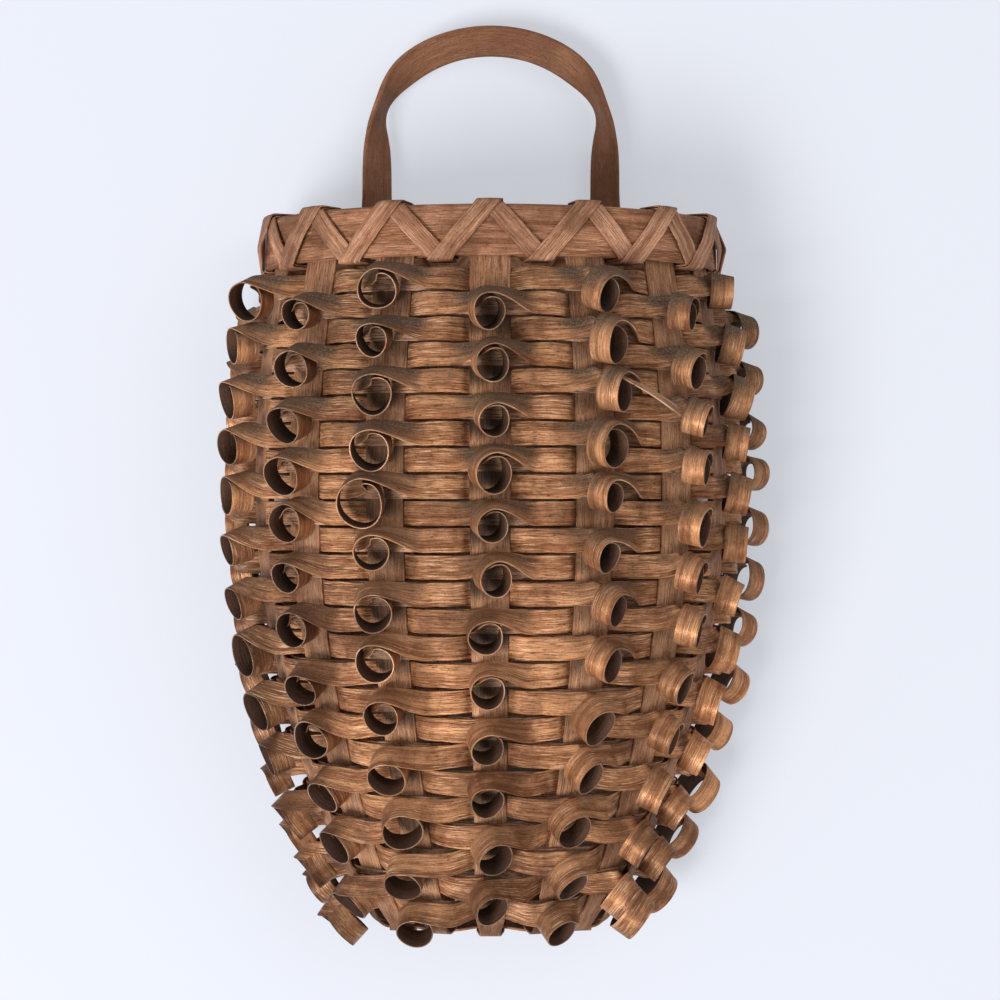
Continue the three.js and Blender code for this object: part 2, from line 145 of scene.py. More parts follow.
def smooth(t):
    t = clamped(t)
    return t * t * (3 - 2 * t)


print("a quarter of the way, eased:", smooth(0.25))


# %% Cross-section
def level_size(z):
    if z > BELLY:
        rise = ((min(z, RIM_BOTTOM) - BELLY) / BELLY_DROP) ** 2
        half = lerp(BELLY_HALF, RIM_HALF, rise)
        front = lerp(BELLY_FRONT, RIM_FRONT, rise)
    else:
        drop = min(1.0, (BELLY - z) / (BELLY - BASE))
        fullness = max(0.0, math.cos(math.pi / 2 * drop)) ** BODY_TAPER
        half = lerp(BASE_HALF, BELLY_HALF, fullness)
        front = lerp(BASE_FRONT, BELLY_FRONT, fullness)
    foot = clamped((BASE + BACK_FOOT_RADIUS - z) / BACK_FOOT_RADIUS)
    back = STAKE_LAYER + BACK_FOOT_RADIUS * (1 - math.sqrt(1 - foot * foot))
    return half, front, back, BACK_CORNER * half / BELLY_HALF


SECTIONS = {}
FRONT_STEPS, CORNER_STEPS = 48, 12


def section(z):
    key = round(z, 7)
    if key in SECTIONS:
        return SECTIONS[key]
    half, front, back, corner = level_size(z)
    middle = back + corner
    points = []
    for step in range(FRONT_STEPS + 1):
        angle = math.pi / 2 * step / FRONT_STEPS
        points.append((half * math.sin(angle), -middle - (front - middle) * math.cos(angle)))
    for step in range(1, CORNER_STEPS + 1):
        angle = math.pi / 2 * step / CORNER_STEPS
        points.append((half - corner + corner * math.cos(angle), -middle + corner * math.sin(angle)))
    points.append((0.0, -back))
    lengths = [0.0]
    for a, b in zip(points, points[1:]):
        lengths.append(lengths[-1] + math.dist(a, b))
    SECTIONS[key] = (points, lengths)
    return SECTIONS[key]


def on_body(z, along):
    """The point at height z and at a distance from the front centre, positive to the right."""
    points, lengths = section(z)
    total = lengths[-1]
    side = -1 if along < 0 else 1
    along = abs(along)
    if along > total:
        along = 2 * total - along
        side = -side
    n = 1
    while n < len(lengths) - 1 and lengths[n] < along:
        n += 1
    t = (along - lengths[n - 1]) / (lengths[n] - lengths[n - 1])
    x = lerp(points[n - 1][0], points[n][0], t)
    return Vector((side * x, lerp(points[n - 1][1], points[n][1], t), z))


print("half width at the belly", level_size(BELLY)[0])

# %% [markdown]
# ## The flat of a stake
#
# Everything in the weave is placed against a stake: outside it, inside it or in the space beside
# it. One small class holds a stake's flat at one height, with its two shoulders and its three
# directions: along the row, down the stake and out of the basket.

# %% Flats
SPREAD_TO_FRONT, SPREAD_FROM_CORNER = 0.024, 0.021
SLOPE_REACH = 2 * MM


class Flat:
    def __init__(self, stake, z):
        self.left, self.right = self.shoulders(stake, z)
        self.centre = (self.left + self.right) / 2
        self.along = (self.right - self.left).normalized()
        above = sum(self.shoulders(stake, z + SLOPE_REACH), Vector())
        below = sum(self.shoulders(stake, z - SLOPE_REACH), Vector())
        down = (below - above).normalized()
        self.out = down.cross(self.along).normalized()
        self.down = self.along.cross(self.out)

    @staticmethod
    def shoulders(stake, z):
        turn = math.pi * stake / HALF_COUNT
        spread = SPREAD_TO_FRONT * math.sin(turn) + SPREAD_FROM_CORNER * math.sin(2 * turn)
        share = stake / HALF_COUNT + spread
        middle = share * section(z)[1][-1]
        reach = stake_width(z) / 2 + STAKE_SHOULDER
        return on_body(z, middle - reach), on_body(z, middle + reach)

    def at(self, along, down, out):
        return self.centre + self.along * along + self.down * down + self.out * out

    def way(self, along, down, out):
        return self.along * along + self.down * down + self.out * out


def stake_width(z):
    return lerp(STAKE_WIDTH, STAKE_FOOT_WIDTH, clamped((BELLY - z) / (BELLY - BASE)))


FLATS = {}


def flat_of(stake, z):
    key = (wrapped(stake), round(z, 7))
    if key not in FLATS:
        FLATS[key] = Flat(*key)
    return FLATS[key]


def wrapped(stake):
    return (stake + HALF_COUNT - 1) % STAKES - HALF_COUNT + 1


print("front stake stands at", flat_of(0, BELLY).centre)

# %% [markdown]
# ## Paths
#
# A path is a list of stations. Each has a centre, a vector across the strip, how far the strip
# stands on edge there and how much it is painted darker, mostly as painted shade, which the finish
# uses later. A path is first laid out with few stations, then filled in, and then smoothed, as a
# stiff splint smooths the bends that it is pushed into.


# %% Stations
class Station:
    def __init__(self, centre, across, stand=0.0, darkening=0.0):
        self.centre = centre
        self.across = across
        self.stand = stand
        self.darkening = darkening


def filled(stations, step):
    result = []
    for a, b in zip(stations, stations[1:]):
        count = max(1, math.ceil((b.centre - a.centre).length / step))
        for n in range(count):
            t = n / count
            centre, across = a.centre.lerp(b.centre, t), a.across.lerp(b.across, t)
            result.append(Station(centre, across, lerp(a.stand, b.stand, t), lerp(a.darkening, b.darkening, t)))
    return result + [stations[-1]]


def eased(stations, passes):
    for _ in range(passes):
        result = [stations[0]]
        for a, b, c in zip(stations, stations[1:], stations[2:]):
            centre = a.centre * 0.25 + b.centre * 0.5 + c.centre * 0.25
            across = a.across * 0.25 + b.across * 0.5 + c.across * 0.25
            stand, darkening = (a.stand + 2 * b.stand + c.stand) / 4, (a.darkening + 2 * b.darkening + c.darkening) / 4
            result.append(Station(centre, across, stand, darkening))
        stations = result + [stations[-1]]
    return stations


print("a station keeps:", ", ".join(vars(Station(Vector(), Vector()))))

# %% [markdown]
# ## One tree that sweeps every strip
#
# Curve to Mesh alone would twist a strip its own way. Here the guide carries its own directions as
# named attributes, and Set Position puts each ring of the swept mesh where they say. The profile is
# a rectangle with filleted corners, so the edges of a strip catch light as cut wood does. The tree
# also stores a UV map that runs along the strip, which the wood grain follows.


# %% Tree builder
class Tree:
    """A node tree. Its node method makes any node: settings first, then the sockets' values or links."""

    def __init__(self, tree):
        self.tree = tree

    def node(self, kind, settings=None, **sockets):
        made = self.tree.nodes.new(kind)
        for name, value in (settings or {}).items():
            setattr(made, name, value)
        for name, value in sockets.items():
            label = name.replace("_", " ")
            for socket in made.inputs:
                if socket.name == label and socket.enabled and not socket.is_linked:
                    if isinstance(value, bpy.types.NodeSocket):
                        self.tree.links.new(value, socket)
                    else:
                        socket.default_value = value
                    break
            else:
                raise KeyError(f"{kind} has no socket {label}")
        return made

    def out(self, made, name=None):
        for socket in made.outputs:
            if socket.enabled and (name is None or socket.name == name):
                return socket
        raise KeyError(name)


print("a tree makes nodes with:", [name for name in vars(Tree) if not name.startswith("_")])

# %% The sweep tree
SHARP_BEND = math.radians(38)


def sweep_tree():
    group = bpy.data.node_groups.new("strip along a guide", "GeometryNodeTree")
    face = group.interface
    face.new_socket("Guide", in_out="INPUT", socket_type="NodeSocketGeometry")
    for name in ("Width", "Thickness", "Edge Radius", "Crown"):
        face.new_socket(name, in_out="INPUT", socket_type="NodeSocketFloat")
    face.new_socket("Finish", in_out="INPUT", socket_type="NodeSocketMaterial")
    face.new_socket("Strip", in_out="OUTPUT", socket_type="NodeSocketGeometry")
    t = Tree(group)
    given = t.node("NodeGroupInput").outputs

    def math_node(operation, a, b=0.0):
        made = t.node("ShaderNodeMath", {"operation": operation})
        for socket, value in zip(made.inputs, (a, b)):
            if isinstance(value, bpy.types.NodeSocket):
                group.links.new(value, socket)
            else:
                socket.default_value = value
        return made.outputs[0]

    def vector_node(operation, *values):
        made = t.node("ShaderNodeVectorMath", {"operation": operation})
        sockets = [s for s in made.inputs if s.enabled]
        for socket, value in zip(sockets, values):
            group.links.new(value, socket)
        return made.outputs[0]

    def attribute(name, kind):
        made = t.node("GeometryNodeInputNamedAttribute", {"data_type": kind}, Name=name)
        return t.out(made, "Attribute")

    def store(geometry, name, kind, domain, value):
        settings = {"data_type": kind, "domain": domain}
        made = t.node("GeometryNodeStoreNamedAttribute", settings, Geometry=geometry, Name=name,
                      Value=value)
        return made.outputs["Geometry"]

    # The profile, whose points keep how far across the strip and how far up they are
    rectangle = t.node("GeometryNodeCurvePrimitiveQuadrilateral", None, Width=given["Width"],
                       Height=given["Thickness"])
    rounded = t.node("GeometryNodeFilletCurve", {"mode": "POLY"}, Curve=rectangle.outputs[0],
                     Radius=given["Edge Radius"], Count=1)
    cut = t.node("GeometryNodeSubdivideCurve", None, Curve=rounded.outputs[0], Cuts=1)
    place = t.node("ShaderNodeSeparateXYZ", None, Vector=t.node("GeometryNodeInputPosition").outputs[0])
    side = math_node("DIVIDE", place.outputs["X"], math_node("MULTIPLY", given["Width"], 0.5))
    profile = store(cut.outputs[0], "side", "FLOAT", "POINT", side)
    profile = store(profile, "lift", "FLOAT", "POINT", place.outputs["Y"])

    # The sweep, and each of its points put where the guide's own directions say
    curve = t.node("GeometryNodeMeshToCurve", None, Mesh=given["Guide"]).outputs[0]
    swept = t.node("GeometryNodeCurveToMesh", None, Curve=curve, Profile_Curve=profile, Fill_Caps=True)
    side = attribute("side", "FLOAT")
    half = math_node("MULTIPLY", given["Width"], 0.5)
    reach = t.node("ShaderNodeVectorMath", {"operation": "SCALE"}, Vector=attribute("across", "FLOAT_VECTOR"),
                   Scale=math_node("MULTIPLY", side, half))
    bow = math_node("MULTIPLY", given["Crown"], math_node("SUBTRACT", 1.0, math_node("MULTIPLY", side, side)))
    rise = math_node("ADD", attribute("lift", "FLOAT"), bow)
    up = t.node("ShaderNodeVectorMath", {"operation": "SCALE"}, Vector=attribute("face", "FLOAT_VECTOR"),
                Scale=rise)
    there = vector_node("ADD", attribute("centre", "FLOAT_VECTOR"),
                        vector_node("ADD", reach.outputs[0], up.outputs[0]))
    moved = t.node("GeometryNodeSetPosition", None, Geometry=swept.outputs[0], Position=there)

    # The UV map, the inner face that the finish paints with shade, and smooth shading but for the edges
    across = math_node("MULTIPLY", side, half)
    pair = t.node("ShaderNodeCombineXYZ", None, X=attribute("run", "FLOAT"), Y=across)
    mesh = store(moved.outputs[0], "UVMap", "FLOAT2", "CORNER", pair.outputs[0])
    inner = math_node("MULTIPLY", math_node("LESS_THAN", attribute("lift", "FLOAT"), 0.0),
                      attribute("stand", "FLOAT"))
    mesh = store(mesh, "inner", "FLOAT", "POINT", inner)
    bend = t.out(t.node("GeometryNodeInputMeshEdgeAngle"), "Unsigned Angle")
    soft = math_node("LESS_THAN", bend, SHARP_BEND)
    shaded = t.node("GeometryNodeSetShadeSmooth", {"domain": "EDGE"}, Geometry=mesh, Shade_Smooth=soft)
    real = t.node("GeometryNodeRealizeInstances", None, Geometry=shaded.outputs[0])
    finished = t.node("GeometryNodeSetMaterial", None, Geometry=real.outputs[0], Material=given["Finish"])
    last = t.node("NodeGroupOutput")
    group.links.new(finished.outputs[0], last.inputs[0])
    return group


SWEEP = sweep_tree()
print("sweep tree has", len(SWEEP.nodes), "nodes")

# %% [markdown]
# ## From stations to a finished piece
#
# The guide is a mesh of bare edges with the attributes on its points. After the modifier has made
# the strip, the result is copied into a plain mesh and the modifier goes, so the kept piece is
# nothing but its own faces.


# %% Strip
def put(mesh, name, kind, values):
    data = mesh.attributes.new(name, kind, "POINT").data
    data.foreach_set("vector" if kind == "FLOAT_VECTOR" else "value", values)


def guide_mesh(name, stations, offset):
    """Bare edges through the stations, with the stations' directions as attributes."""
    count = len(stations)
    guide = bpy.data.meshes.new(name)
    guide.from_pydata([s.centre for s in stations], [(n, n + 1) for n in range(count - 1)], [])
    runs = [offset]
    faces = []
    for n, here in enumerate(stations):
        before, after = stations[max(0, n - 1)], stations[min(count - 1, n + 1)]
        faces.append(here.across.cross(after.centre - before.centre).normalized())
        if n:
            runs.append(runs[-1] + (here.centre - before.centre).length)
    put(guide, "centre", "FLOAT_VECTOR", [c for s in stations for c in s.centre])
    put(guide, "across", "FLOAT_VECTOR", [c for s in stations for c in s.across])
    put(guide, "face", "FLOAT_VECTOR", [c for f in faces for c in f])
    put(guide, "run", "FLOAT", runs)
    put(guide, "stand", "FLOAT", [s.stand for s in stations])
    put(guide, "darkening", "FLOAT", [s.darkening for s in stations])
    return guide


def strip(name, stations, width, thickness, finish, edge=0.12 * MM, crown=0.0, offset=0.0):
    """A flat strip along the stations. offset moves the wood grain along it."""
    guide = guide_mesh(name + " guide", stations, offset)
    carrier = bpy.data.objects.new(name + " guide", guide)
    bpy.context.scene.collection.objects.link(carrier)
    modifier = carrier.modifiers.new("sweep", "NODES")
    modifier.node_group = SWEEP
    values = {"Width": width, "Thickness": thickness, "Edge Radius": edge, "Crown": crown, "Finish": finish}
    for item in SWEEP.interface.items_tree:
        if item.item_type == "SOCKET" and item.name in values:
            modifier[item.identifier] = values[item.name]
    depsgraph = bpy.context.evaluated_depsgraph_get()
    mesh = bpy.data.meshes.new_from_object(carrier.evaluated_get(depsgraph), depsgraph=depsgraph)
    bpy.data.objects.remove(carrier)
    bpy.data.meshes.remove(guide)
    for spare in ("centre", "across", "face", "run", "side", "lift"):
        if spare in mesh.attributes:
            mesh.attributes.remove(mesh.attributes[spare])
    if signed_volume(mesh) < 0:
        mesh.flip_normals()
    put(mesh, "upward", "FLOAT", [v.normal.z for v in mesh.vertices])
    mesh.name = name
    piece = bpy.data.objects.new(name, mesh)
    bpy.context.scene.collection.objects.link(piece)
    return piece


def signed_volume(mesh):
    mesh.calc_loop_triangles()
    corners = [v.co for v in mesh.vertices]
    total = 0.0
    for triangle in mesh.loop_triangles:
        a, b, c = (corners[v] for v in triangle.vertices)
        total += a.dot(b.cross(c))
    return total


def place(piece, node, slot):
    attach(piece, "root")
    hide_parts(node)


print("sockets of the sweep:", [item.name for item in SWEEP.interface.items_tree])

# %% [markdown]
# ## Finishes
#
# Old ash splint is streaked along its length: broad bands of pale and dark wood, hair-fine dark
# lines and short open pores. Dust has settled on whatever faces up, and hands have rubbed fibres
# pale, which also serve as painted glints. All the splints share one recipe with different colours, which
# follows the UV map.
#
# A thin splint has a satin sheen in the colour of the wood, because the light goes into its fibres
# and comes back out. A coat would shine white, so a little of Metallic gives that sheen. It stays where
# the wood is clean, and is strongest where the strip stands on edge.
#
# Shader arithmetic is long to write with nodes, so a small class wraps a socket and lets ordinary
# Python operators add the Math nodes.


# %% Sockets as numbers
class Value:
    def __init__(self, paint, socket):
        self.paint = paint
        self.socket = socket

    def math(self, operation, *others):
        made = self.paint.node("ShaderNodeMath", {"operation": operation})
        for socket, value in zip(made.inputs, (self, *others)):
            if isinstance(value, Value):
                self.paint.tree.links.new(value.socket, socket)
            else:
                socket.default_value = value
        return Value(self.paint, made.outputs[0])

    def __add__(self, other):
        return self.math("ADD", other)

    __radd__ = __add__

    def __mul__(self, other):
        return self.math("MULTIPLY", other)

    __rmul__ = __mul__

    def __sub__(self, other):
        return self.math("SUBTRACT", other)

    def __rsub__(self, other):
        return (self * -1) + other

    def __pow__(self, other):
        return self.math("POWER", other)

    def abs(self):
        return self.math("ABSOLUTE")

    def between(self, low, high):
        """0 below low, 1 above high, and a smooth step between them."""
        made = self.paint.node("ShaderNodeMapRange", {"interpolation_type": "SMOOTHSTEP"},
                               Value=self.socket, From_Min=low, From_Max=high)
        return Value(self.paint, made.outputs[0])


class Paint(Tree):
    """A material in the making, with its Principled shader."""

    def __init__(self, name):
        self.material = bpy.data.materials.new(name)
        self.material.use_nodes = True
        super().__init__(self.material.node_tree)
        self.shader = self.tree.nodes["Principled BSDF"]

    def value(self, made, name=None):
        return Value(self, self.out(made, name))

    def attribute(self, name):
        return self.value(self.node("ShaderNodeAttribute", {"attribute_name": name}), "Fac")

    def noise(self, vector, scale, detail=2.0, roughness=0.5):
        made = self.node("ShaderNodeTexNoise", None, Vector=vector, Scale=scale, Detail=detail,
                         Roughness=roughness)
        return self.value(made, "Factor" if "Factor" in made.outputs else "Fac")

    def stretched(self, vector, along, across):
        made = self.node("ShaderNodeMapping", None, Vector=vector, Scale=(along, across, 1.0))
        return made.outputs[0]

    def mixed(self, factor, first, second):
        made = self.tree.nodes.new("ShaderNodeMix")
        made.data_type = "RGBA"
        for socket, value in ((made.inputs[0], factor), (made.inputs[6], first), (made.inputs[7], second)):
            if isinstance(value, Value):
                self.tree.links.new(value.socket, socket)
            elif isinstance(value, bpy.types.NodeSocket):
                self.tree.links.new(value, socket)
            else:
                socket.default_value = value
        return made.outputs[2]

    def blend(self, factor, first, second):
        made = self.tree.nodes.new("ShaderNodeMixShader")
        for socket, value in zip(made.inputs, (factor, first, second)):
            self.tree.links.new(value, socket)
        return made.outputs[0]

    def finish(self, color, rough, polish, height, strength, distance):
        links = self.tree.links
        links.new(color, self.shader.inputs["Base Color"])
        links.new(rough.socket, self.shader.inputs["Roughness"])
        links.new(polish.socket, self.shader.inputs["Metallic"])
        self.shader.inputs["Specular IOR Level"].default_value = 0.2
        bump = self.node("ShaderNodeBump", None, Height=height.socket, Strength=strength, Distance=distance)
        links.new(bump.outputs[0], self.shader.inputs["Normal"])
        return self.material


print("shader values can be added, subtracted, multiplied and raised to a power")


# %% Colours shared by the splints
def rgb(red, green, blue):
    return (red, green, blue, 1.0)


DUST = rgb(0.132, 0.082, 0.052)
PALE_DUST = rgb(0.300, 0.205, 0.135)
SHADE = rgb(0.022, 0.009, 0.005)
WORN_AND_GLINT = rgb(0.84, 0.55, 0.34)
INNER_SHADE = rgb(0.078, 0.041, 0.032)
DEEP_SHADE = rgb(0.014, 0.007, 0.004)
FOOT_AND_LEFT_TINT = rgb(0.055, 0.023, 0.017)
RIM_HIGHLIGHT = rgb(0.36, 0.260, 0.18)
DUST_HEIGHTS = (-0.27, -0.10)
print("dust thins out between", DUST_HEIGHTS)

# %% [markdown]
# ## The splint recipe
#
# The order follows what happened to the wood. First come the bands that it grew with, then a darker
# colour at the foot and the viewer's lower left, then dust. The dark lines, fibres and pores lie over
# the dust, because they are cuts in the surface, and pale rubbed fibres, partly painted glints, come
# after them. The inside of a curl is painted dark as shade, and its cut rim gets a painted highlight.

# %% Splint recipe
BAND_SCALE, LINE_SCALE = (9, 300), (16, 1350)
FIBRE_SCALE, PORE_SCALE = (120, 2500), (360, 2900)
BLOTCH_SCALE, PATCH_SCALE, SPECK_SCALE = 16.0, 60.0, 1500.0
RELIEF_STRENGTH, RELIEF_DEPTH = 0.8, 0.25 * MM


def splint_finish(name, pale, mid, deep, dust, edge, polish, half_width, wear_and_glint=0.5, grain=1.0, top_darkening=0.10):
    """Streaked wood along the UV map. dust, edge, polish, worn, grain and age are from 0 to 1."""
    p = Paint(name)
    # The patterns, along the strip and in the basket's own space
    uv = p.node("ShaderNodeUVMap", {"uv_map": "UVMap"}).outputs[0]
    here = p.node("ShaderNodeTexCoord").outputs["Object"]
    bands = p.noise(p.stretched(uv, *BAND_SCALE), 1.0, 3.0, 0.55)
    lines = p.noise(p.stretched(uv, *LINE_SCALE), 1.0, 2.0, 0.55)
    fibres = p.noise(p.stretched(uv, *FIBRE_SCALE), 1.0, 2.0, 0.6)
    pores = p.noise(p.stretched(uv, *PORE_SCALE), 1.0, 1.0, 0.5)
    blotches = p.noise(here, BLOTCH_SCALE, 2.0, 0.5)
    patches = p.noise(here, PATCH_SCALE, 4.0, 0.6)
    specks = p.noise(here, SPECK_SCALE, 2.0, 0.7)
    stand = p.attribute("stand")
    side = p.value(p.node("ShaderNodeSeparateXYZ", None, Vector=uv), "Y") * (1 / half_width)
    spot = p.node("ShaderNodeSeparateXYZ", None, Vector=here)
    height = p.value(spot, "Z").between(*DUST_HEIGHTS)
    leftward, depth = p.value(spot, "X") * -1, p.value(spot, "Z") * -1
    # Darker towards the viewer's lower left and at the foot of the basket
    foot_and_left = leftward.between(0.015, 0.075) * depth.between(0.16, 0.25)
    foot_and_left = (foot_and_left + depth.between(0.265, 0.315) * 0.8).between(0, 1)
    upward = p.attribute("upward").between(-0.20, 0.65)
    # Bands, a darker foot and lower left, and darker towards the top
    color = p.mixed(bands.between(0.38, 0.60), mid, pale)
    # Random blotches, and darker towards the top of the basket
    color = p.mixed(blotches.between(0.42, 0.62) * 0.35 + height * top_darkening, color, deep)
    tint_strength = 0.22 + patches.between(0.40, 0.60) * 0.22 + side.between(-0.2, 1.0) * stand * 0.35
    color = p.mixed(foot_and_left * tint_strength, color, FOOT_AND_LEFT_TINT)
    color = p.mixed(patches.between(0.46, 0.64) * 0.5, color, deep)
    # Dust, most of it high on the basket and on what faces up
    settle = (side * -1).between(-0.8, 1.0) * 0.38 + stand.between(0.05, 0.6) * upward * 0.80
    settle = settle * (0.2 + height * 0.9) * (0.35 + (1 - bands)) * dust
    color = p.mixed(settle, color, DUST)
    # Lines, fibres, pores, and fibres rubbed pale where no dust lies
    rough_grain = (1 - stand * 0.5) * grain
    color = p.mixed(lines.between(0.50, 0.64) * rough_grain * 0.5, color, deep)
    color = p.mixed(fibres.between(0.50, 0.64) * rough_grain * 0.6, color, SHADE)
    color = p.mixed(pores.between(0.58, 0.70) * rough_grain * 0.9, color, SHADE)
    # Lines, fibres, pores, and pale rubbed fibres where no dust lies, partly painted glints
    rub_and_glint = (1 - fibres).between(0.54, 0.68) * (1 - patches).between(0.40, 0.60) * wear_and_glint
    color = p.mixed(rub_and_glint * (1 - settle.between(0.2, 0.7) * 0.85), color, WORN_AND_GLINT)
    color = p.mixed((1 - specks).between(0.52, 0.70) * settle * 0.7, color, PALE_DUST)
    color = p.mixed(specks.between(0.52, 0.74) * 0.45, color, SHADE)
    # Painted shade behind the curls' mouths and where the lashing folds over the rim, darker stake feet, then
    # the painted shade inside a curl and the painted highlight on its cut rim
    color = p.mixed(p.attribute("darkening") * 0.9, color, DEEP_SHADE)
    # The inside of a curl is painted dark as shade, darkest deep in the tube
    inside = p.mixed(side.between(-0.5, 1.0), DEEP_SHADE, INNER_SHADE)
    color = p.mixed(p.attribute("inner") * (0.75 + specks * 0.25), color, inside)
    # A painted highlight along the cut rim of a standing curl
    rim = side.between(0.985, 0.999) * stand.between(0.88, 0.98) * specks.between(0.40, 0.64) * edge
    color = p.mixed(rim, color, RIM_HIGHLIGHT)
    # Sheen and relief
    clean = (1 - settle.between(0.05, 0.5)) * (1 - p.attribute("darkening")) * (1 - p.attribute("inner"))
    shine = clean * (0.45 + stand * 0.55) * (0.5 + fibres) * polish
    rough = 0.64 - shine * 0.62 + 0.25 * settle.between(0.0, 0.5) + 0.25 * (specks - 0.5)
    relief = (1 - lines.between(0.48, 0.66)) * 0.35 + (1 - fibres.between(0.48, 0.68)) * 0.6
    relief = (relief + specks * 0.3) * (1 - stand * 0.45) * min(1.0, grain + 0.3)
    return p.finish(color, rough, shine, relief, RELIEF_STRENGTH, RELIEF_DEPTH)


print("relief is at most", round(RELIEF_DEPTH / MM, 2), "mm deep")

# %% The six finishes
STAKE_FINISH = splint_finish(
    "pale brown stake splint", rgb(0.84, 0.440, 0.245), rgb(0.64, 0.305, 0.153), rgb(0.150, 0.053, 0.019),
    dust=0.25, edge=0.0, polish=0.10, half_width=STAKE_WIDTH / 2, wear_and_glint=0.35, grain=0.65, top_darkening=0.30)
WEAVER_FINISH = splint_finish(
    "warm brown weaver splint", rgb(0.93, 0.545, 0.345), rgb(0.76, 0.385, 0.215), rgb(0.120, 0.048, 0.022),
    dust=0.5, edge=0.1, polish=0.10, half_width=WEAVER_WIDTH / 2, wear_and_glint=0.65, grain=0.9, top_darkening=0.15)
CURL_FINISH = splint_finish(
    "thin curled splint", rgb(0.85, 0.405, 0.190), rgb(0.45, 0.175, 0.071), rgb(0.095, 0.034, 0.015),
    dust=1.0, edge=0.8, polish=0.36, half_width=WEAVER_WIDTH / 2, wear_and_glint=0.8, grain=0.80, top_darkening=0.17)
HOOP_FINISH = splint_finish(
    "bent rim hoop", rgb(0.64, 0.295, 0.158), rgb(0.36, 0.143, 0.066), rgb(0.120, 0.047, 0.021),
    dust=0.3, edge=0.0, polish=0.16, half_width=HOOP_HEIGHT / 2, wear_and_glint=0.5, grain=0.45)
LASH_FINISH = splint_finish(
    "rim lashing splint", rgb(0.83, 0.420, 0.245), rgb(0.50, 0.222, 0.116), rgb(0.155, 0.063, 0.028),
    dust=0.3, edge=0.3, polish=0.24, half_width=LASH_SPREAD / 2, wear_and_glint=0.5, grain=0.55)
STRAP_FINISH = splint_finish(
    "smooth loop strap", rgb(0.322, 0.144, 0.075), rgb(0.252, 0.107, 0.055), rgb(0.170, 0.066, 0.031),
    dust=0.2, edge=0.2, polish=0.20, half_width=STRAP_WIDTH / 2, wear_and_glint=0.12, grain=0.3)
FINISHES = (STAKE_FINISH, WEAVER_FINISH, CURL_FINISH, HOOP_FINISH, LASH_FINISH, STRAP_FINISH)
print("finishes:", [finish.name for finish in FINISHES])

# %% [markdown]
# ## Stakes
#
# Seven long splints cross on the base, over and under, and bend up at both ends. Each path goes
# down one wall, across the base and up the other wall. Near the foot each stake is trimmed narrower,
# so that the round base has room for all of them.
#
# Behind the mouth of a curl a stake is painted darker, as painted shade in the deep tube. That is
# kept as darkening on the stations of the stakes and weavers that are seen through the mouths.

# %% Sizes of the base, and painted shade behind the curls
CROSSING = (STAKE_THICKNESS + GAP) / 2
CROSS_REACH = STAKE_FOOT_WIDTH / 2 + GAP
SIDE_STAKES = (3, 4)
FRONT_STAKES = (-2, -1, 0, 1, 2)
SIDE_PITCH = 12.2 * MM
WALL_STEP = 2 * MM
FOOT_TAPER = 0.36
# Towards its foot a stake is painted darker
FOOT_DARKENING, FOOT_RUN = 0.4, 5 * MM
BEND_REACH, BEND_PASSES = 5, 12
MOUTH_DROP, MOUTH_REACH, LOWER_HANG = 5.6 * MM, 6.2 * MM, -1.4 * MM
# Painted shade, by column, on the stakes and weavers seen through the mouths of the curls
MOUTH_SHADE = {-2: 0.3, -1: 0.8, 0: 1.0, 1: 0.6}


def outside(number, row):
    return (number + row) % 2 == 0


def lowness(row):
    """0 on the upper rows, 1 on the last. The lower curls are bigger and hang further down."""
    return clamped((row - 10) / (ROWS - 10))


def under_a_curl(stake, z):
    """1 where the mouth of a curl lies in front of the stake, 0 between the curls."""
    curled = [row for row in range(1, ROWS + 1) if outside(stake, row)]
    centres = [row_level(row) - MOUTH_DROP - LOWER_HANG * lowness(row) for row in curled]
    nearest = min(abs(centre - z) for centre in centres)
    return 1 - smooth((nearest - 0.5 * MOUTH_REACH) / (0.7 * MOUTH_REACH))


print("curls on the middle stake:", sum(outside(0, row) for row in range(1, ROWS + 1)))


# %% Stake paths
def wall_run(stake):
    last = row_level(ROWS) - LAST_PITCH / 2
    levels = [RIM_TOP - GAP]
    while levels[-1] > last:
        levels.append(levels[-1] - WALL_STEP)
    levels += [lerp(last, BASE, share) for share in (0.35, 0.65, 0.85, 0.98)]
    stations = []
    for z in levels:
        left, right = Flat.shoulders(stake, z)
        width = stake_width(z) * (1 - FOOT_TAPER * smooth((last + 2 * MM - z) / (last + 2 * MM - BASE)))
        across = (left - right).normalized() * (width / STAKE_WIDTH)
        # Painted shade behind the mouths of the curls, and painted darker towards the foot
        darkening = under_a_curl(stake, z) * MOUTH_SHADE.get(stake, 0.0)
        darkening = max(darkening, FOOT_DARKENING * smooth((last + 3 * MM - z) / FOOT_RUN))
        stations.append(Station((left + right) / 2, across, 0.0, darkening))
    return stations


def foot(stake):
    return wall_run(stake)[-1].centre


def back_of(stake):
    return (HALF_COUNT if stake >= 0 else -HALF_COUNT) - stake


def crossing_point(front, side):
    start, end = foot(front), foot(back_of(front))
    rear = -(level_size(BASE)[2] + CROSS_REACH)
    y = rear - (SIDE_STAKES[-1] - side) * SIDE_PITCH
    return Vector((lerp(start.x, end.x, (y - start.y) / (end.y - start.y)), y, BASE))


def turned(stations):
    return [Station(s.centre, -s.across, s.stand, s.darkening) for s in reversed(stations)]


def base_run(down, up, points, run, lift):
    """Down one wall, over and under along the base, and up the other."""
    width = STAKE_FOOT_WIDTH / STAKE_WIDTH
    across = Vector((run.y, -run.x, 0)) * width
    if across.dot(down[-1].across) < 0:
        across = -across
    stations = list(down)
    for point, side in zip(points, lift):
        for reach in (-CROSS_REACH, CROSS_REACH):
            centre = point + run * reach + Vector((0, 0, side * CROSSING))
            stations.append(Station(centre, across))
    return stations + up


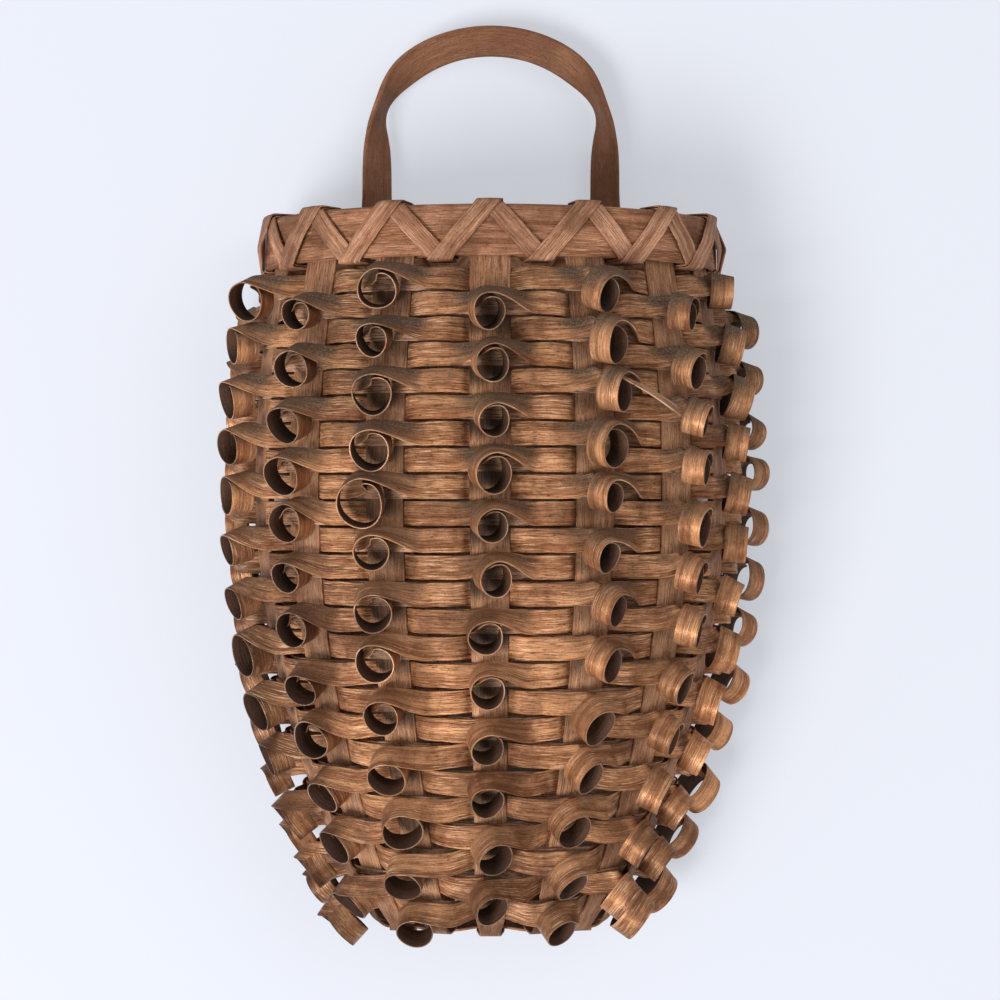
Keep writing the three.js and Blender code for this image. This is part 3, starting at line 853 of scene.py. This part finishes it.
def over(front, side):
    return 1 if (front + side) % 2 == 0 else -1


def stake_path(front=None, side=None):
    if side is None:
        down, up = wall_run(front), turned(wall_run(back_of(front)))
        run = (up[0].centre - down[-1].centre).normalized()
        points = [crossing_point(front, s) for s in SIDE_STAKES]
        lift = [over(front, s) for s in SIDE_STAKES]
    else:
        down, up = wall_run(side), turned(wall_run(-side))
        run = Vector((-1, 0, 0))
        points = [crossing_point(f, side) for f in reversed(FRONT_STAKES)]
        lift = [-over(f, side) for f in reversed(FRONT_STAKES)]
    stations = filled(base_run(down, up, points, run, lift), 1.5 * MM)
    for bend in (down[-1].centre, up[0].centre):
        near = min(range(len(stations)), key=lambda n: (stations[n].centre - bend).length)
        around = slice(near - BEND_REACH, near + BEND_REACH + 1)
        stations[around] = eased(stations[around], BEND_PASSES)
    return eased(stations, 3)


print("stations in the middle stake:", len(stake_path(front=0)))

# %% Stakes
pieces = []


def keep(piece, node, slot):
    place(piece, node, slot)
    pieces.append(piece)


def stake(name, stations, number):
    piece = strip(name, stations, STAKE_WIDTH, STAKE_THICKNESS, STAKE_FINISH, edge=0.18 * MM,
                  offset=number * 0.7)
    keep(piece, name, "stake_splint")


for number, front in enumerate(FRONT_STAKES):
    stake(f"stake_splint_front_{number + 1}", stake_path(front=front), number)
for number, side in enumerate(SIDE_STAKES):
    stake(f"stake_splint_side_{number + 1}", stake_path(side=side), number + 6)
print("stake splints:", len(pieces))

# %% [markdown]
# ## Weavers
#
# A weaver goes round the basket once, outside one stake and inside the next. On the real basket its
# end runs over its own start behind a stake, so this path overlaps itself there too.

# %% Weaver paths
WEAVER_OUT = STAKE_THICKNESS / 2 + GAP + WEAVER_THICKNESS / 2
OVERLAY_OUT = WEAVER_OUT + WEAVER_THICKNESS / 2 + GAP + CURL_THICKNESS / 2
OVERLAY_IN = -(STAKE_THICKNESS / 2 + GAP + CURL_THICKNESS / 2)
UNDER_OVERLAY = OVERLAY_IN - CURL_THICKNESS / 2 - GAP - WEAVER_THICKNESS / 2
RAMP = 0.62
SWAY = 0.22 * MM


def overlay_end(row):
    return 5 if row % 2 == 0 else 4


def weaver_offset(number, row):
    number = wrapped(number)
    if outside(number, row):
        return WEAVER_OUT
    if abs(number) == overlay_end(row):
        return UNDER_OVERLAY - GAP
    return UNDER_OVERLAY if abs(number) < overlay_end(row) else -WEAVER_OUT


def between_stakes(number, row, first, second, rise, step=1.5 * MM):
    """Stations in the space after a stake, from one offset to another. rise is where the ramp ends."""
    z = row_level(row)
    here, after = flat_of(number, z), flat_of(number + 1, z)
    start, end = here.right, after.left
    count = max(3, math.ceil((end - start).length / step))
    stations = []
    for n in range(1, count):
        t = n / count
        early = abs(first) > abs(second) or first < second
        ramp = smooth(t / rise) if early else smooth((t - 1 + rise) / rise)
        out = here.out.lerp(after.out, t).normalized()
        down = here.down.lerp(after.down, t).normalized()
        stations.append(Station(start.lerp(end, t) + out * lerp(first, second, ramp), down))
    return stations


def weaver_path(row, chance):
    z = row_level(row)
    start = HALF_COUNT - row % 2
    stations = []
    lap = WEAVER_THICKNESS + 0.15 * MM
    for turn in range(STAKES + 1):
        number = start + turn
        flat = flat_of(number, z)
        offset = weaver_offset(number, row)
        if turn == 0:
            offset -= lap
        following = weaver_offset(number + 1, row)
        sway = chance.uniform(-SWAY, SWAY)
        # A weaver seen through the mouth of a curl gets painted shade
        mouth_shade = MOUTH_SHADE.get(wrapped(number), 0.0) if outside(number, row) else 0.0
        for shoulder in (flat.left, flat.centre, flat.right):
            centre = shoulder + flat.out * offset + flat.down * sway
            darkening = mouth_shade if shoulder is flat.centre else 0.0
            stations.append(Station(centre, flat.down.copy(), 0.0, darkening))
        if turn < STAKES:
            stations += between_stakes(number, row, offset, following, RAMP)
    return eased(filled(stations, 2.2 * MM), 2)


print("a weaver passes", round(WEAVER_OUT / MM, 2), "mm from the middle of a stake")

# %% Weavers
for row in range(1, ROWS + 1):
    chance = random.Random(100 + row)
    name = f"weaver_row_{row:02d}"
    path = weaver_path(row, chance)
    width = WEAVER_WIDTH * chance.uniform(0.97, 1.03)
    piece = strip(name, path, width, WEAVER_THICKNESS, WEAVER_FINISH, crown=0.12 * MM, offset=row * 0.9)
    keep(piece, name, "weaver_splint")
print("weavers:", ROWS, "faces in one:", len(piece.data.polygons))

# %% [markdown]
# ## Curls
#
# This is the piece that gives the basket its looks. The overlay splint comes out from behind a
# stake, lies flat on the weaver and begins to twist, its lower edge lifting off the wall. On edge
# it turns one full loop, which hangs below the row like a short tube, and over its own start it
# twists back and lies flat again.
#
# The path is worked out in a stake's own directions. A tube has an axis, which is the way out of
# the basket turned by a lean to one side and a droop downwards, and the ring turns around it. Each
# column of curls has its own lean in degrees, and its own lift off the wall and shift along the row
# in millimetres, under the number of its stake: 0 is the front centre and -4 the viewer's far left.
# All of them change a little from row to row. The lower curls are bigger and hang.

# %% Curl sizes
CURL_FIRST_RADIUS = 5.3 * MM
CURL_LAST_RADIUS = 6.7 * MM
CURL_LIFT = 0.5 * MM
CURL_CLIMB = 1.0 * MM
FIRST_TURN = math.radians(76)
LAST_TURN = math.radians(80)
TWIST_RUN = 19 * MM
LANDING, SHORT_LANDING = 19 * MM, 9 * MM
RING_STEP, SQUARING = 12, 60
HALF_WIDTH = WEAVER_WIDTH / 2
LEANS = {-4: 16, -3: 4, -2: 9, -1: 15, 0: 12, 1: 33, 2: 24, 3: 20, 4: 14}
LOWER_LEANS = {-4: 9, -3: -10, -2: -4, 1: 12, 3: 10, 4: 0}
LOWER_SIZES = {-4: 1.14, -3: 1.16, 3: 1.16, 4: 1.16}
LIFTS = {-4: 2.0, -3: 2.0, 3: -0.8, 4: 5.0}
LOWER_LIFTS = {-4: 5.0, -3: 2.0}
HANGS = {4: 2.6}
SHIFTS = {-2: -0.5, -1: -3.2, 0: -1.8, 1: -2.8, 2: -2.0, 3: -4.5, 4: -5.0}
FRONT_PITCH, SIDE_PITCH_ANGLE, LOWER_PITCH = 15, 7, 43
LOWER_SIZE = 1.08
LOOSE_LEAN, LOOSE_DROOP, LOOSE_SHIFT = 10, 8, 1.3
LOOSE_SIZE, LOOSE_TALLNESS, LOOSE_WOBBLE = (0.89, 1.14), (1.03, 1.14), (0.01, 0.045)
LIFT_LOSS, CLEAR_SHARE, CREST_SHARE = 0.8, 0.75, 0.93
RISE_RUN, DRAW_RUN, HIDE_RUN = 6 * MM, 7 * MM, 7 * MM
print("columns of curls:", len(LEANS))


# %% A curl's tube
class Tube:
    """The tube that one curl makes: its axis and radii, and where it hangs on the flat of a stake."""

    def __init__(self, flat, number, row, chance, unruly=None):
        self.flat = flat
        self.number = number
        low = lowness(row)
        lean = lerp(LEANS[number], LOWER_LEANS.get(number, LEANS[number]), low)
        shift = (SHIFTS.get(number, 0.0) + chance.uniform(-LOOSE_SHIFT, LOOSE_SHIFT)) * MM
        size = 1.0
        if unruly:
            size, lean, shift = unruly
        upper = lerp(FRONT_PITCH, SIDE_PITCH_ANGLE, smooth((abs(number) - 1) / 3))
        pitch = math.radians(lerp(upper, LOWER_PITCH, low))
        size *= chance.uniform(*LOOSE_SIZE) * lerp(1, LOWER_SIZES.get(number, LOWER_SIZE), low)
        self.first_radius, self.last_radius = CURL_FIRST_RADIUS * size, CURL_LAST_RADIUS * size
        lean = math.radians(lean + chance.uniform(-LOOSE_LEAN, LOOSE_LEAN))
        droop = pitch + math.asin(flat.out.z) + math.radians(chance.uniform(-LOOSE_DROOP, LOOSE_DROOP))
        self.tall = chance.uniform(*LOOSE_TALLNESS)
        self.wobble, self.phase = chance.uniform(*LOOSE_WOBBLE), chance.uniform(0, math.tau)
        self.lift = CURL_LIFT + LIFTS.get(number, 0.0) * (1 - LIFT_LOSS * low) * MM
        self.lift += LOWER_LIFTS.get(number, 0.0) * low * MM
        slant = math.hypot(math.sin(lean), math.sin(droop))
        self.clearing = CLEAR_SHARE * self.first_radius * slant / math.cos(lean)
        self.pull = math.cos(lean)
        self.axis = flat.way(math.sin(lean), math.cos(lean) * math.sin(droop),
                             math.cos(lean) * math.cos(droop))
        self.right = flat.way(math.cos(lean), -math.sin(lean) * math.sin(droop),
                              -math.sin(lean) * math.cos(droop))
        self.down = flat.way(0, math.cos(droop), -math.sin(droop))
        hang = self.first_radius * self.tall - CREST_SHARE * HALF_WIDTH + LOWER_HANG * low
        self.foot_point = flat.at(shift, hang + HANGS.get(number, 0.0) * MM, OVERLAY_OUT)

    def standing(self, turn, flat_way):
        """The strip's width direction: flat at turn 0, along the tube at a quarter turn."""
        return (self.axis * math.sin(turn) + flat_way * math.cos(turn)).normalized()

    def on_ring(self, degrees):
        """The middle of the strip on the ring, 0 at the crest where the strip comes and leaves."""
        angle = math.radians(degrees)
        radius = lerp(self.first_radius, self.last_radius, degrees / 360)
        radius *= 1 + self.wobble * math.sin(3 * angle + self.phase)
        height = HALF_WIDTH + self.lift + self.clearing * lerp(0.25, 1, smooth(degrees / 100))
        height += CURL_CLIMB * smooth((degrees - 90) / 180)
        outward = self.right * math.sin(angle) - self.down * (self.tall * math.cos(angle))
        return self.foot_point + self.axis * height + outward * radius

    def twisted(self, t, lower, base, turn):
        """The middle of a strip that twists up from the wall, t along the row from the stake."""
        return self.flat.at(t, lower, base) + self.axis * (HALF_WIDTH * math.sin(turn))


print("a tube's radius grows from", CURL_FIRST_RADIUS / MM, "to", CURL_LAST_RADIUS / MM, "mm")


# %% Curl path
def rising(tube, room):
    """From behind the stake before, flat on the weaver and then up on edge, to the crest."""
    crest = tube.on_ring(0)
    twist = min(TWIST_RUN, room - 0.5 * MM)
    steps = max(4, math.ceil(room / (1.2 * MM)))
    stations = []
    for n in range(1, steps):
        t = -room + room * n / steps
        turn = FIRST_TURN * smooth((t + twist) / (twist * 1.15))
        base = lerp(OVERLAY_IN, OVERLAY_OUT, smooth((t + room) / RISE_RUN))
        plain = tube.twisted(t, -HALF_WIDTH * (1 - math.cos(turn)), base, turn)
        drawn = crest + (tube.flat.along * (t * tube.pull))
        centre = plain.lerp(drawn, smooth((t + DRAW_RUN) / DRAW_RUN) ** 2)
        stations.append(Station(centre, tube.standing(turn, tube.flat.down), math.sin(turn)))
    return stations


def ring(tube):
    """One turn around the tube, on edge."""
    stations = []
    for degrees in range(RING_STEP, 361, RING_STEP):
        angle = math.radians(degrees)
        turn = lerp(FIRST_TURN, math.pi / 2, smooth(degrees / SQUARING))
        turn = lerp(turn, LAST_TURN, smooth((degrees - 360 + SQUARING) / SQUARING))
        inward = tube.down * math.cos(angle) - tube.right * math.sin(angle)
        stations.append(Station(tube.on_ring(degrees), tube.standing(turn, inward), 1.0))
    return stations


def settling(tube, room):
    """Over its own start, down on the weaver and in behind the next stake."""
    flat = tube.flat
    leave = tube.on_ring(360) - flat.centre
    start, high, top = leave.dot(flat.along), leave.dot(flat.down), leave.dot(flat.out)
    land = min(lerp(LANDING, SHORT_LANDING, smooth((tube.number - 1) / 1.5)), room - 1.0 * MM)
    steps = max(6, math.ceil((room - start) / (1.0 * MM)))
    stations = []
    for n in range(1, steps):
        t = start + (room - start) * n / steps
        share = clamped((t - start) / max(1 * MM, land - start))
        turn = LAST_TURN * (1 - smooth(share)) ** 0.8
        base = lerp(OVERLAY_OUT, OVERLAY_IN, smooth((t - room + HIDE_RUN) / HIDE_RUN))
        plain = tube.twisted(t, -0.6 * HALF_WIDTH * (1 - math.cos(turn)), base, turn)
        centre = flat.at(t, high, top).lerp(plain, smooth(share * 1.25))
        stations.append(Station(centre, tube.standing(turn, flat.down), math.sin(turn)))
    return stations


print("stations in one ring:", len(range(RING_STEP, 361, RING_STEP)))

# %% Curl rows
UNRULY_CURLS = {(1, -3): (1.08, 42, -3 * MM), (9, -1): (1.22, 20, -7 * MM)}


def overlay_path(row, chance):
    z = row_level(row)
    end = overlay_end(row)
    stations = []
    for number in range(-end, end + 1):
        flat = flat_of(number, z)
        if outside(number, row):
            before, after = flat_of(number - 1, z), flat_of(number + 1, z)
            tube = Tube(flat, number, row, chance, UNRULY_CURLS.get((row, number)))
            stations += rising(tube, (flat.centre - before.right).length)
            stations += ring(tube)
            stations += settling(tube, (after.left - flat.centre).length)
        else:
            for shoulder in (flat.left, flat.right):
                stations.append(Station(shoulder + flat.out * OVERLAY_IN, flat.down.copy()))
    return eased(filled(stations, 1.6 * MM), 2)


for row in range(1, ROWS + 1):
    chance = random.Random(500 + row)
    name = f"curl_row_{row:02d}"
    node = name if row < ROWS else f"weaver_row_{ROWS}"
    path = overlay_path(row, chance)
    piece = strip(name, path, WEAVER_WIDTH, CURL_THICKNESS, CURL_FINISH, edge=0.1 * MM,
                  offset=3 + row * 1.1)
    keep(piece, node, "curl_splint")
print("curl rows:", ROWS, "faces in one:", len(piece.data.polygons))

# %% [markdown]
# ## A loose sliver
#
# One overlay has split, and a thin splinter of it stands between two curls on the viewer's right.
# It is a short strip like the others, which narrows to its broken end.

# %% Loose sliver
SLIVER_STEPS = 8


def sliver_path():
    """A splinter of a broken overlay, from the mouth of one curl to the next curl."""
    first, second = flat_of(1, row_level(5)), flat_of(2, row_level(6))
    start, end = first.at(6 * MM, 0, 12.5 * MM), second.at(-8 * MM, 1.5 * MM, 10 * MM)
    stations = []
    for n in range(SLIVER_STEPS + 1):
        t = n / SLIVER_STEPS
        bow = second.out * (1.2 * MM * math.sin(math.pi * t))
        across = (first.down * 0.8 + first.out * 0.6).normalized() * lerp(0.20, 0.66, t)
        stations.append(Station(start.lerp(end, t) + bow, across, 0.3))
    return stations


sliver = strip("curl_sliver", sliver_path(), WEAVER_WIDTH, CURL_THICKNESS, WEAVER_FINISH, edge=0.1 * MM,
               offset=9)
keep(sliver, "curl_row_05", "curl_splint")
print("sliver faces:", len(sliver.data.polygons))

# %% [markdown]
# ## Rim
#
# Two hoops squeeze the tops of the stakes and the legs of the loop between them. A thin splint is
# wound round both, once leaning each way, which makes the row of crosses. Where it folds over the
# top of the rim, it is painted darker, as painted shade.


# %% Hoops
def hoop_path(offset):
    stations = []
    for turn in range(STAKES + 1):
        flat = flat_of(HALF_COUNT + turn, RIM_TOP)
        out = Vector((flat.out.x, flat.out.y, 0)).normalized()
        ends = (flat.left, flat.right)
        if turn == 0:
            ends = (flat.centre, flat.right)
        if turn == STAKES:
            ends = (flat.left, flat.centre)
        for shoulder in ends:
            centre = shoulder + out * offset
            centre.z = RIM_TOP - HOOP_HEIGHT / 2
            stations.append(Station(centre, Vector((0, 0, -1))))
    return eased(filled(stations, 2 * MM), 6)


for name, offset, thickness in (("rim_outer_hoop", HOOP_ROOM / 2 + OUTER_HOOP / 2, OUTER_HOOP),
                                ("rim_inner_hoop", -HOOP_ROOM / 2 - INNER_HOOP / 2, INNER_HOOP)):
    piece = strip(name, hoop_path(offset), HOOP_HEIGHT, thickness, HOOP_FINISH, edge=0.7 * MM, offset=40)
    keep(piece, name, "rim_hoop")
    print(name, "faces:", len(piece.data.polygons))

# %% Lashing
OUTER_FACE = HOOP_ROOM / 2 + OUTER_HOOP
INNER_FACE = -HOOP_ROOM / 2 - INNER_HOOP - 0.5 * MM
# Painted shade where the lashing folds over the top of the rim
FOLD_SHADE = 0.42


def rim_shoulder(number, side, offset):
    flat = flat_of(number, RIM_TOP)
    return (flat.left if side < 0 else flat.right) + flat.out * offset


def rim_middle(number, is_space, offset, height, darkening=0.0):
    if is_space:
        first, second = rim_shoulder(number, 1, offset), rim_shoulder(number + 1, -1, offset)
    else:
        first, second = rim_shoulder(number, -1, offset), rim_shoulder(number, 1, offset)
    centre = (first + second) / 2
    centre.z = height
    along = second - first
    spread = min(LASH_SPREAD, along.length - 2 * LASH_THICKNESS)
    return Station(centre, along.normalized() * (spread / LASH_SPREAD), 0.0, darkening)


def rim_corner(number, side, offset, low, high):
    space = number - 1 if side < 0 else number
    on_stake = rim_middle(number, False, offset, 0)
    on_space = rim_middle(space, True, offset, 0)
    centre = rim_shoulder(number, side, offset)
    turn = on_stake.across.angle(on_space.across)
    below = (centre - Vector((on_space.centre.x, on_space.centre.y, centre.z))).length
    above = (centre - Vector((on_stake.centre.x, on_stake.centre.y, centre.z))).length
    centre.z = lerp(low, high, below / (below + above))
    across = (on_stake.across + on_space.across).normalized()
    out = Vector((across.y, -across.x, 0))
    return Station(centre + out * (LASH_SPREAD / 2 * math.sin(turn / 2)), across)


def lash_pass(layer, way):
    reach = layer * LASH_ROOM - LASH_THICKNESS / 2
    low, high = RIM_BOTTOM - reach, RIM_TOP + reach
    stations = []
    for turn in range(STAKES):
        number = 1 - HALF_COUNT + turn if way > 0 else HALF_COUNT - turn
        space_before = number - 1 if way > 0 else number
        space_after = number if way > 0 else number - 1
        stations.append(rim_middle(space_before, True, OUTER_FACE + reach, low))
        stations.append(rim_corner(number, -way, OUTER_FACE + reach, low, high))
        stations.append(rim_middle(number, False, OUTER_FACE + reach, high, FOLD_SHADE))
        stations.append(rim_middle(number, False, INNER_FACE - reach, high, FOLD_SHADE))
        stations.append(rim_middle(space_after, True, INNER_FACE - reach, low))
    return stations


lash = eased(filled(lash_pass(1, -1) + lash_pass(2, 1), 1.0 * MM), 2)
piece = strip("rim_lashing", lash, LASH_SPREAD, LASH_THICKNESS, LASH_FINISH, crown=0.15 * MM, offset=60)
keep(piece, "rim_lashing", "rim_lash")
print("lashing stations:", len(lash))

# %% [markdown]
# ## Hanging loop
#
# The loop is one thick strap. It stands flat between the hoops, turns nearly edge on at the
# shoulders, where it bends most easily, and turns back at the top.

# %% Loop
LOOP_HALF, LOOP_ARCH = 44 * MM, 34.7 * MM
APEX_TURN, SHOULDER_TURN = math.radians(28), math.radians(46)
SHOULDER_HEIGHT, SHOULDER_LENGTH, LEG_SETTLE = 48 * MM, 14 * MM, 15 * MM
LEG_STEPS, ARCH_STEPS = 40, 48


def loop_path():
    spring = STRAP_WIDTH / 2 * math.cos(APEX_TURN) - LOOP_ARCH
    bottom = RIM_BOTTOM + GAP
    line = []
    for step in range(LEG_STEPS):
        line.append((-LOOP_HALF, lerp(bottom, spring, step / LEG_STEPS)))
    for step in range(ARCH_STEPS + 1):
        angle = math.pi / 2 * step / ARCH_STEPS
        line.append((-LOOP_HALF * math.cos(angle), spring + LOOP_ARCH * math.sin(angle)))
    line += [(-x, z) for x, z in reversed(line[:-1])]
    lengths = [0.0]
    for a, b in zip(line, line[1:]):
        lengths.append(lengths[-1] + math.dist(a, b))
    stations = []
    for n, (x, z) in enumerate(line):
        before, after = line[max(0, n - 1)], line[min(len(line) - 1, n + 1)]
        away = Vector((-(after[1] - before[1]), 0, after[0] - before[0])).normalized()
        free = min(lengths[n], lengths[-1] - lengths[n]) - (HOOP_HEIGHT - GAP)
        bump = math.exp(-(((free - SHOULDER_HEIGHT) / SHOULDER_LENGTH) ** 2))
        turn = smooth(free / LEG_SETTLE) * (APEX_TURN + SHOULDER_TURN * bump)
        across = away * math.cos(turn) - Vector((0, math.sin(turn), 0))
        stations.append(Station(Vector((x, -STAKE_LAYER, z)), across))
    return stations


piece = strip("hanging_loop", loop_path(), STRAP_WIDTH, STRAP_THICKNESS, STRAP_FINISH, edge=0.5 * MM,
              offset=80)
keep(piece, "hanging_loop", "loop_strap")
print("loop faces:", len(piece.data.polygons))

# %% [markdown]
# ## Stage and light
#
# A pale cloth lay under the basket. Here it is a plain wall just behind it, which is see-through
# from its back, so that the basket can be looked at from all sides.
#
# The wall is pale without strong lamps, because half of what the camera sees of it is a glow that
# lights nothing. Behind the body that glow would show as bright slits between the rows, where the
# real basket lets no light through. So inside a shape like the body's outline the wall is painted
# dark as shade, and light from the world passes through it there, to the back of the basket.

# %% Backdrop
BACKDROP_GAP = 2 * MM
BACKDROP_HALF = 4.0
BACKDROP_GLOW = rgb(0.815, 0.842, 0.905)
BACKDROP_SHADE = rgb(0.010, 0.008, 0.007)
BACKDROP_COLOR = rgb(0.76, 0.795, 0.885)
BACKDROP_SHARE, SHADE_SHARE = 0.5, 0.85
OUTLINE_MIDDLE, OUTLINE_BEND = 0.165, 1.5
OUTLINE_EDGE, OUTLINE_BOTTOM, OUTLINE_TOP = (0.076, 0.090), (-0.338, -0.318), (-0.085, -0.065)


def backdrop():
    half = BACKDROP_HALF
    corners = [(-half, BACKDROP_GAP, -half), (half, BACKDROP_GAP, -half), (half, BACKDROP_GAP, half),
               (-half, BACKDROP_GAP, half)]
    mesh = bpy.data.meshes.new("backdrop")
    mesh.from_pydata(corners, [], [(0, 1, 2, 3)])
    p = Paint("pale backdrop")
    p.shader.inputs["Base Color"].default_value = BACKDROP_COLOR
    p.shader.inputs["Roughness"].default_value = 0.9
    back = p.node("ShaderNodeNewGeometry")
    clear = p.node("ShaderNodeBsdfTransparent")
    ray = p.node("ShaderNodeLightPath")
    seen = p.value(ray, "Is Camera Ray") + p.value(ray, "Is Glossy Ray") + p.value(ray, "Is Transmission Ray")
    here = p.node("ShaderNodeSeparateXYZ", None, Vector=p.node("ShaderNodeTexCoord").outputs["Object"])
    x, z = p.value(here, "X"), p.value(here, "Z")
    outline = x.abs() + (z + OUTLINE_MIDDLE) ** 2 * OUTLINE_BEND
    hidden = (1 - outline.between(*OUTLINE_EDGE)) * z.between(*OUTLINE_BOTTOM)
    hidden = hidden * (1 - z.between(*OUTLINE_TOP))
    glow = p.node("ShaderNodeEmission", None, Color=BACKDROP_GLOW)
    share = seen * (1 - hidden) * BACKDROP_SHARE
    surface = p.blend(share.socket, p.shader.outputs[0], glow.outputs[0])
    # A dark emission painted on the wall as shade behind the body
    shade = p.node("ShaderNodeEmission", None, Color=BACKDROP_SHADE)
    surface = p.blend((hidden * SHADE_SHARE).socket, surface, shade.outputs[0])
    opening = (p.value(back, "Backfacing") + hidden * (1 - seen)).between(0.0, 1.0)
    surface = p.blend(opening.socket, surface, clear.outputs[0])
    p.tree.links.new(surface, p.tree.nodes["Material Output"].inputs["Surface"])
    mesh.materials.append(p.material)
    wall = bpy.data.objects.new("backdrop", mesh)
    bpy.context.scene.collection.objects.link(wall)
    print("backdrop nodes:", len(p.tree.nodes))


backdrop()


# %% Lamps and world
def lamp(name, place_at, aim, size, power):
    data = bpy.data.lights.new(name, "AREA")
    data.size = size
    data.energy = power
    made = bpy.data.objects.new(name, data)
    made.location = place_at
    made.rotation_euler = (Vector(aim) - Vector(place_at)).to_track_quat("-Z", "Y").to_euler()
    bpy.context.scene.collection.objects.link(made)
    print(name, "lamp,", power, "W")


MIDDLE = (0, -0.05, -0.16)
lamp("key", (-1.2, -2.0, -1.25), MIDDLE, 1.1, 56)
lamp("fill", (1.3, -1.9, 0.5), MIDDLE, 1.4, 8)

world = bpy.data.worlds.new("world")
world.use_nodes = True
world.node_tree.nodes["Background"].inputs["Color"].default_value = rgb(1, 1, 1)
world.node_tree.nodes["Background"].inputs["Strength"].default_value = 0.45
bpy.context.scene.world = world
bpy.context.scene.view_settings.view_transform = "Standard"
